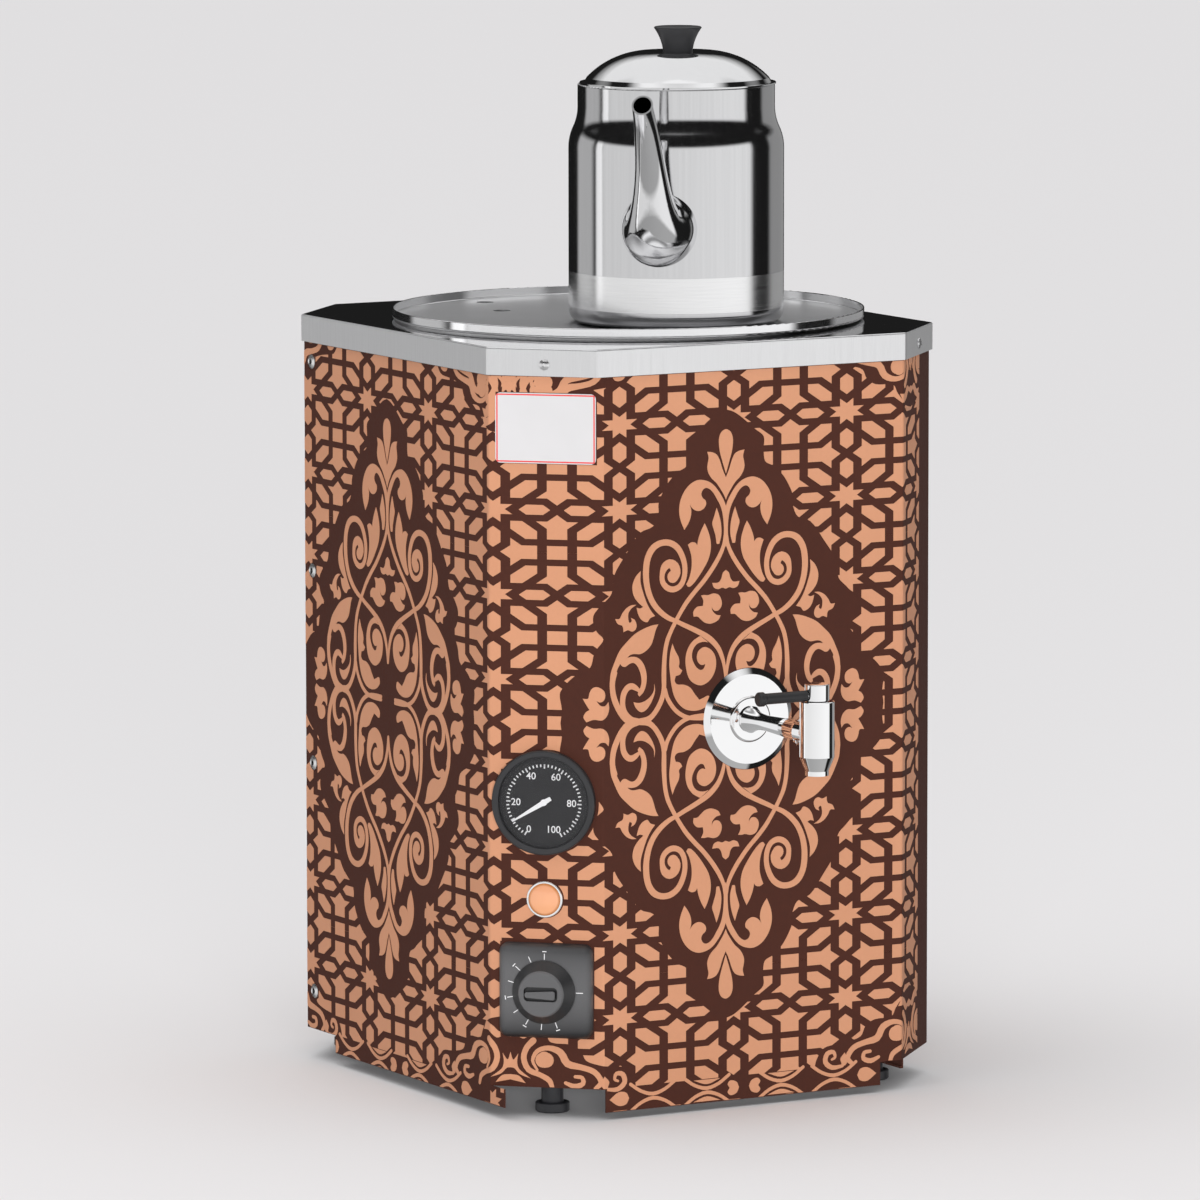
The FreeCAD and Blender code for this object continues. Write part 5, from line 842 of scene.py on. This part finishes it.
LENS_EDGE, LENS_FADE = 7.8 * MM, 1.1 * MM
LENS_WIDTH = 24 * MM        # over which the painted glow fades upwards
amber = Finish("amber_lens", (0.92, 0.42, 0.17), 0.18, coat_weight=0.6, coat_roughness=0.08)
across, height = on_panel(amber, "lamp_lens")
radius = amber.maths("SQRT", across * across + height * height)
# Painted light: the lens is coloured lighter towards its bottom, a painted glow, and darker towards its rim,
# painted shade; the lamp itself gives no light.
rim = ((radius - LENS_EDGE) / LENS_FADE).clamped()
painted_glow = (0.5 - height / LENS_WIDTH).clamped()
body_colour = amber.mix((0.7, 0.33, 0.19), (0.86, 0.41, 0.2), painted_glow)
amber.set("Base Color", amber.mix(body_colour, (0.5, 0.19, 0.06), rim))
amber.set("Roughness", (amber.noise(300, 2) * 0.1 + 0.14).clamped())
amber.bump(amber.noise(250, 1), 0.00002, 0.3)
amber.dress("lamp_lens")


# Thermostat.
# A moulded black plate and a turning knob with a finger pocket, and white graduation
# marks printed on the plate.

graphite = moulded("black_plate", (0.045, 0.045, 0.048), 0.48, 1600, 0.00002)
low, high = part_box("thermostat_plate")
plate_half = (high.z - low.z) / 2
across, height = (value / plate_half for value in on_panel(graphite, "thermostat_plate"))
grain = graphite.noise(1600, 2)
upright = height * height * height * height
pillow = across * across * across * across + upright
# Painted shade: the plate is coloured darker towards its top and bottom edges, most at the bottom, and
# towards its right, for the shading of its pillowed face.
shade = (height * height * 0.75 + upright * 0.3 + across * 0.12 - height * 0.16).clamped()
graphite.set("Base Color", graphite.mix(graphite.mix((0.13, 0.13, 0.134), (0.012, 0.012, 0.013), shade),
                                        (0.06, 0.06, 0.063), grain * 0.3))
graphite.bump(grain * 0.01 - pillow, 0.0022, 1.0)
graphite.dress("thermostat_plate")
knob = moulded("black_knob", (0.03, 0.03, 0.032), 0.36, 1600, 0.00002)
face = reach("thermostat_knob", PANEL_OUT) - 1.2 * MM
outward = knob.along(knob.offset(), PANEL_OUT)
# Painted sheen: the knob's outward face is coloured lighter than its sides, for the light that face catches.
knob.set("Base Color", knob.mix(knob.mix((0.02, 0.02, 0.021), (0.03, 0.03, 0.031), knob.noise(900, 2)),
                                (0.105, 0.105, 0.108), outward > face))
knob.dress("thermostat_knob")
plate = panel_frame("thermostat_plate")
marks = [tick_marks("graduation", white_print, 9, 90.0, 25.0, 20.6 * MM, 3.6 * MM, 0.45 * MM),
         tick_marks("off_mark", white_print, 1, 0.0, 0.0, 20.8 * MM, 4.2 * MM, 0.45 * MM)]
for angle in (90.0, 140.0, 190.0, 240.0, 290.0):
    marks.append(tick_marks("cross_bar", white_print, 1, angle, 0.0, 23.6 * MM, 0.5 * MM, 2.4 * MM))
finished("graduation_print", joined("graduation_print", marks, plate), white_print)


# Badge plate.
# A thin white plate with rounded corners and a printed red border, left bare.

badge = Finish("badge_enamel", (0.68, 0.67, 0.68), 0.3, coat_weight=0.2)
low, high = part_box("badge_plate")
half_high = (high.z - low.z) / 2
half_wide = (reach("badge_plate", PANEL_RIGHT) + reach("badge_plate", -PANEL_RIGHT)) / 2
across, height = (badge.maths("ABSOLUTE", value) for value in on_panel(badge, "badge_plate"))
edge = badge.maths("MAXIMUM", across - half_wide, height - half_high)
band = (edge > -1.4 * MM) * (edge < -0.6 * MM)
badge.set("Base Color", badge.mix(badge.mix((0.6, 0.595, 0.6), (0.65, 0.64, 0.65), badge.noise(40, 2)),
                                  (0.75, 0.05, 0.05), band))
badge.bump(badge.noise(600, 2), 0.00001, 0.3)
badge.dress("badge_plate")


# Tray.
# A shallow spun stainless lid with a rolled rim and two steam holes. The teapot stands
# on it.

tray = Finish("tray_steel", (0.7, 0.7, 0.71), 0.16, 1.0)
swirl = tray.noise(30, 3)
hair = tray.noise(1500, 2, (1, 0.02, 1))
tray.set("Base Color", tray.mix((0.8, 0.8, 0.81), (0.97, 0.97, 0.98), hair * 0.5 + swirl * 0.5))
on_floor = tray.part(tray.offset(), "Z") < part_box("tray_lid")[1].z - 4.5 * MM
tray.set("Roughness", on_floor * (hair * 0.08 + 0.28) + (1 - on_floor) * 0.09)
tray.bump(hair, 0.000006, 0.4)
tray.dress("tray_lid")


# Teapot.
# The body, the gooseneck spout and the lid are polished stainless sheet, with a
# band of turned lines round the foot of the body. Handle and knob are black mouldings.

BAND_LOW, BAND_HIGH = 10.7 * MM, 31.3 * MM
pot = Finish("pot_steel", (0.82, 0.82, 0.83), 0.06, 1.0)
upright = pot.noise(520, 4, (1, 1, 0.012))
turned = pot.noise(1500, 3, (0.03, 0.03, 1))
rise = pot.part(pot.offset(), "Z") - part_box("teapot_base")[0].z
band = (rise > BAND_LOW) * (rise < BAND_HIGH)
# Painted shade: below the turned band the body is coloured darker towards the tray, for the shade and dark
# reflection at the pot's foot.
foot = (BAND_LOW - rise) / (6 * MM)
sides = pot.mix((0.65, 0.65, 0.66), (0.75, 0.75, 0.76), upright)
pot.set("Base Color", pot.mix(pot.mix(sides, (0.26, 0.26, 0.27), foot.clamped()),
                              pot.mix((0.84, 0.84, 0.85), (0.98, 0.98, 0.98), turned), band))
pot.set("Roughness", (upright * 0.1 + 0.05) * (1 - band) + band * (0.14 + turned * 0.14))
pot.bump(upright * (1 - band) * 0.12 + band * turned, 0.00005, 0.5)
pot.dress("teapot_base", "teapot_body")
bright = metal("bright_steel", (0.8, 0.8, 0.81), 0.07, (1, 1, 0.03), 300, 0.04, 0.000004)
bright.dress("teapot_spout", "teapot_lid")
metal("bracket_steel", (0.6, 0.6, 0.61), 0.25, (1, 1, 0.04), 500).dress("handle_brackets")
bakelite.dress("teapot_handle")
moulded("knob_moulding", (0.024, 0.024, 0.026), 0.4, 1400, 0.00002).dress("lid_knob")


# Floor, studio light and camera.
# A pale seamless floor, one large softbox on the left, an overhead fill for all matt
# surfaces, and a banded room that only reflections see.

bpy.ops.mesh.primitive_plane_add(size=90.0, location=(0, 0, 0))
floor = bpy.context.object
floor.name = "floor"
Finish("pale_floor", (0.8, 0.793, 0.798), 0.9, specular_ior_level=0.0).dress(floor)
floor.visible_glossy = False


def toward(turn, rise):
    """Direction, in degrees to the right of the tap's side and above the floor."""
    turn, rise = math.radians(turn), math.radians(rise)
    return Vector((math.sin(turn) * math.cos(rise), -math.cos(turn) * math.cos(rise), math.sin(rise)))


VIEW_TURN, VIEW_RISE, VIEW_ROLL = -29.252, 7.226, -0.0694
VIEW_FROM = 5.5475
back = toward(VIEW_TURN, VIEW_RISE)
right = toward(VIEW_TURN + 90, 0)
aim = right * -0.009354 + Vector((0, 0.0353, 0.2802))
lens = bpy.data.cameras.new("camera")
lens.lens = 279.53
lens.sensor_width = 36.0
lens.clip_end = 200
camera = bpy.data.objects.new("camera", lens)
upright = Matrix((right, back.cross(right), back)).transposed().to_4x4()
camera.matrix_world = (Matrix.Translation(aim + back * VIEW_FROM) @ upright
                       @ Matrix.Rotation(math.radians(VIEW_ROLL), 4, "Z"))
scene.collection.objects.link(camera)
scene.camera = camera
scene.view_settings.view_transform = "Standard"

away = toward(-26, 5)
lamp = bpy.data.lights.new("key", "AREA")
lamp.shape = "RECTANGLE"
lamp.size, lamp.size_y = 2.8, 1.1
lamp.energy = 295
key = bpy.data.objects.new("key", lamp)
key.location = away * 6.5 + Vector((0, 0, 0.25))
key.rotation_euler = away.to_track_quat("Z", "Y").to_euler()
key.visible_glossy = False
scene.collection.objects.link(key)

world = bpy.data.worlds.new("studio")
scene.world = world
world.use_nodes = True
sky = Graph(world.node_tree)
direction = sky.add("TexCoord", {}, output="Generated")
forward = sky.along(direction, (back.x, back.y, 0))
sideways = sky.along(direction, right)
bearing = sky.maths("ARCTAN2", sideways, forward) * (180 / math.pi)
tilt = sky.maths("ARCSINE", sky.part(direction, "Z")) * (180 / math.pi)


def between(value, low, high, soft):
    """1 inside a span of degrees, fading over the soft edge."""
    return ((value - low) / soft + 0.5).clamped() * ((high - value) / soft + 0.5).clamped()


wall = between(tilt, -24, 13, 6) + between(tilt, -90, -24, 6) * 0.45
span = ((bearing + 60) / 120).clamped()
shade = (between(bearing, -131, -101, 6) * 0.5 + between(bearing, -96, -87, 3) * 1.1
         + between(bearing, -87, 88, 6) * (0.78 + span * 0.16) + between(bearing, 118.6, 166, 7) * 0.3)
front = between(bearing, -80, 80, 20)
rear = 1 - between(bearing, -115, 115, 24)
shoulder = between(tilt, 44, 100, 6) * front * (1 - between(tilt, 54, 66, 8) * 0.7)
crown = ((tilt - 20) / 16).clamped() * rear + ((tilt - 46) / 16).clamped() * (1 - front) * (1 - rear)
seen = shade * wall + shoulder * 1.05 + crown * 0.9 + 0.012
is_glossy = sky.add("LightPath", {}, output="Is Glossy Ray")
mirror = sky.add("Background", {}, (1, 1, 1, 1), seen)
overhead = ((tilt - 25) / 40).clamped() * 1.86 * (1 - sideways * 0.5)
fill = sky.add("Background", {}, (1.0, 0.995, 1.0, 1), overhead)
blend = sky.add("MixShader", {}, is_glossy, fill, mirror)
sky.feed(sky.tree.nodes["World Output"].inputs[0], blend)
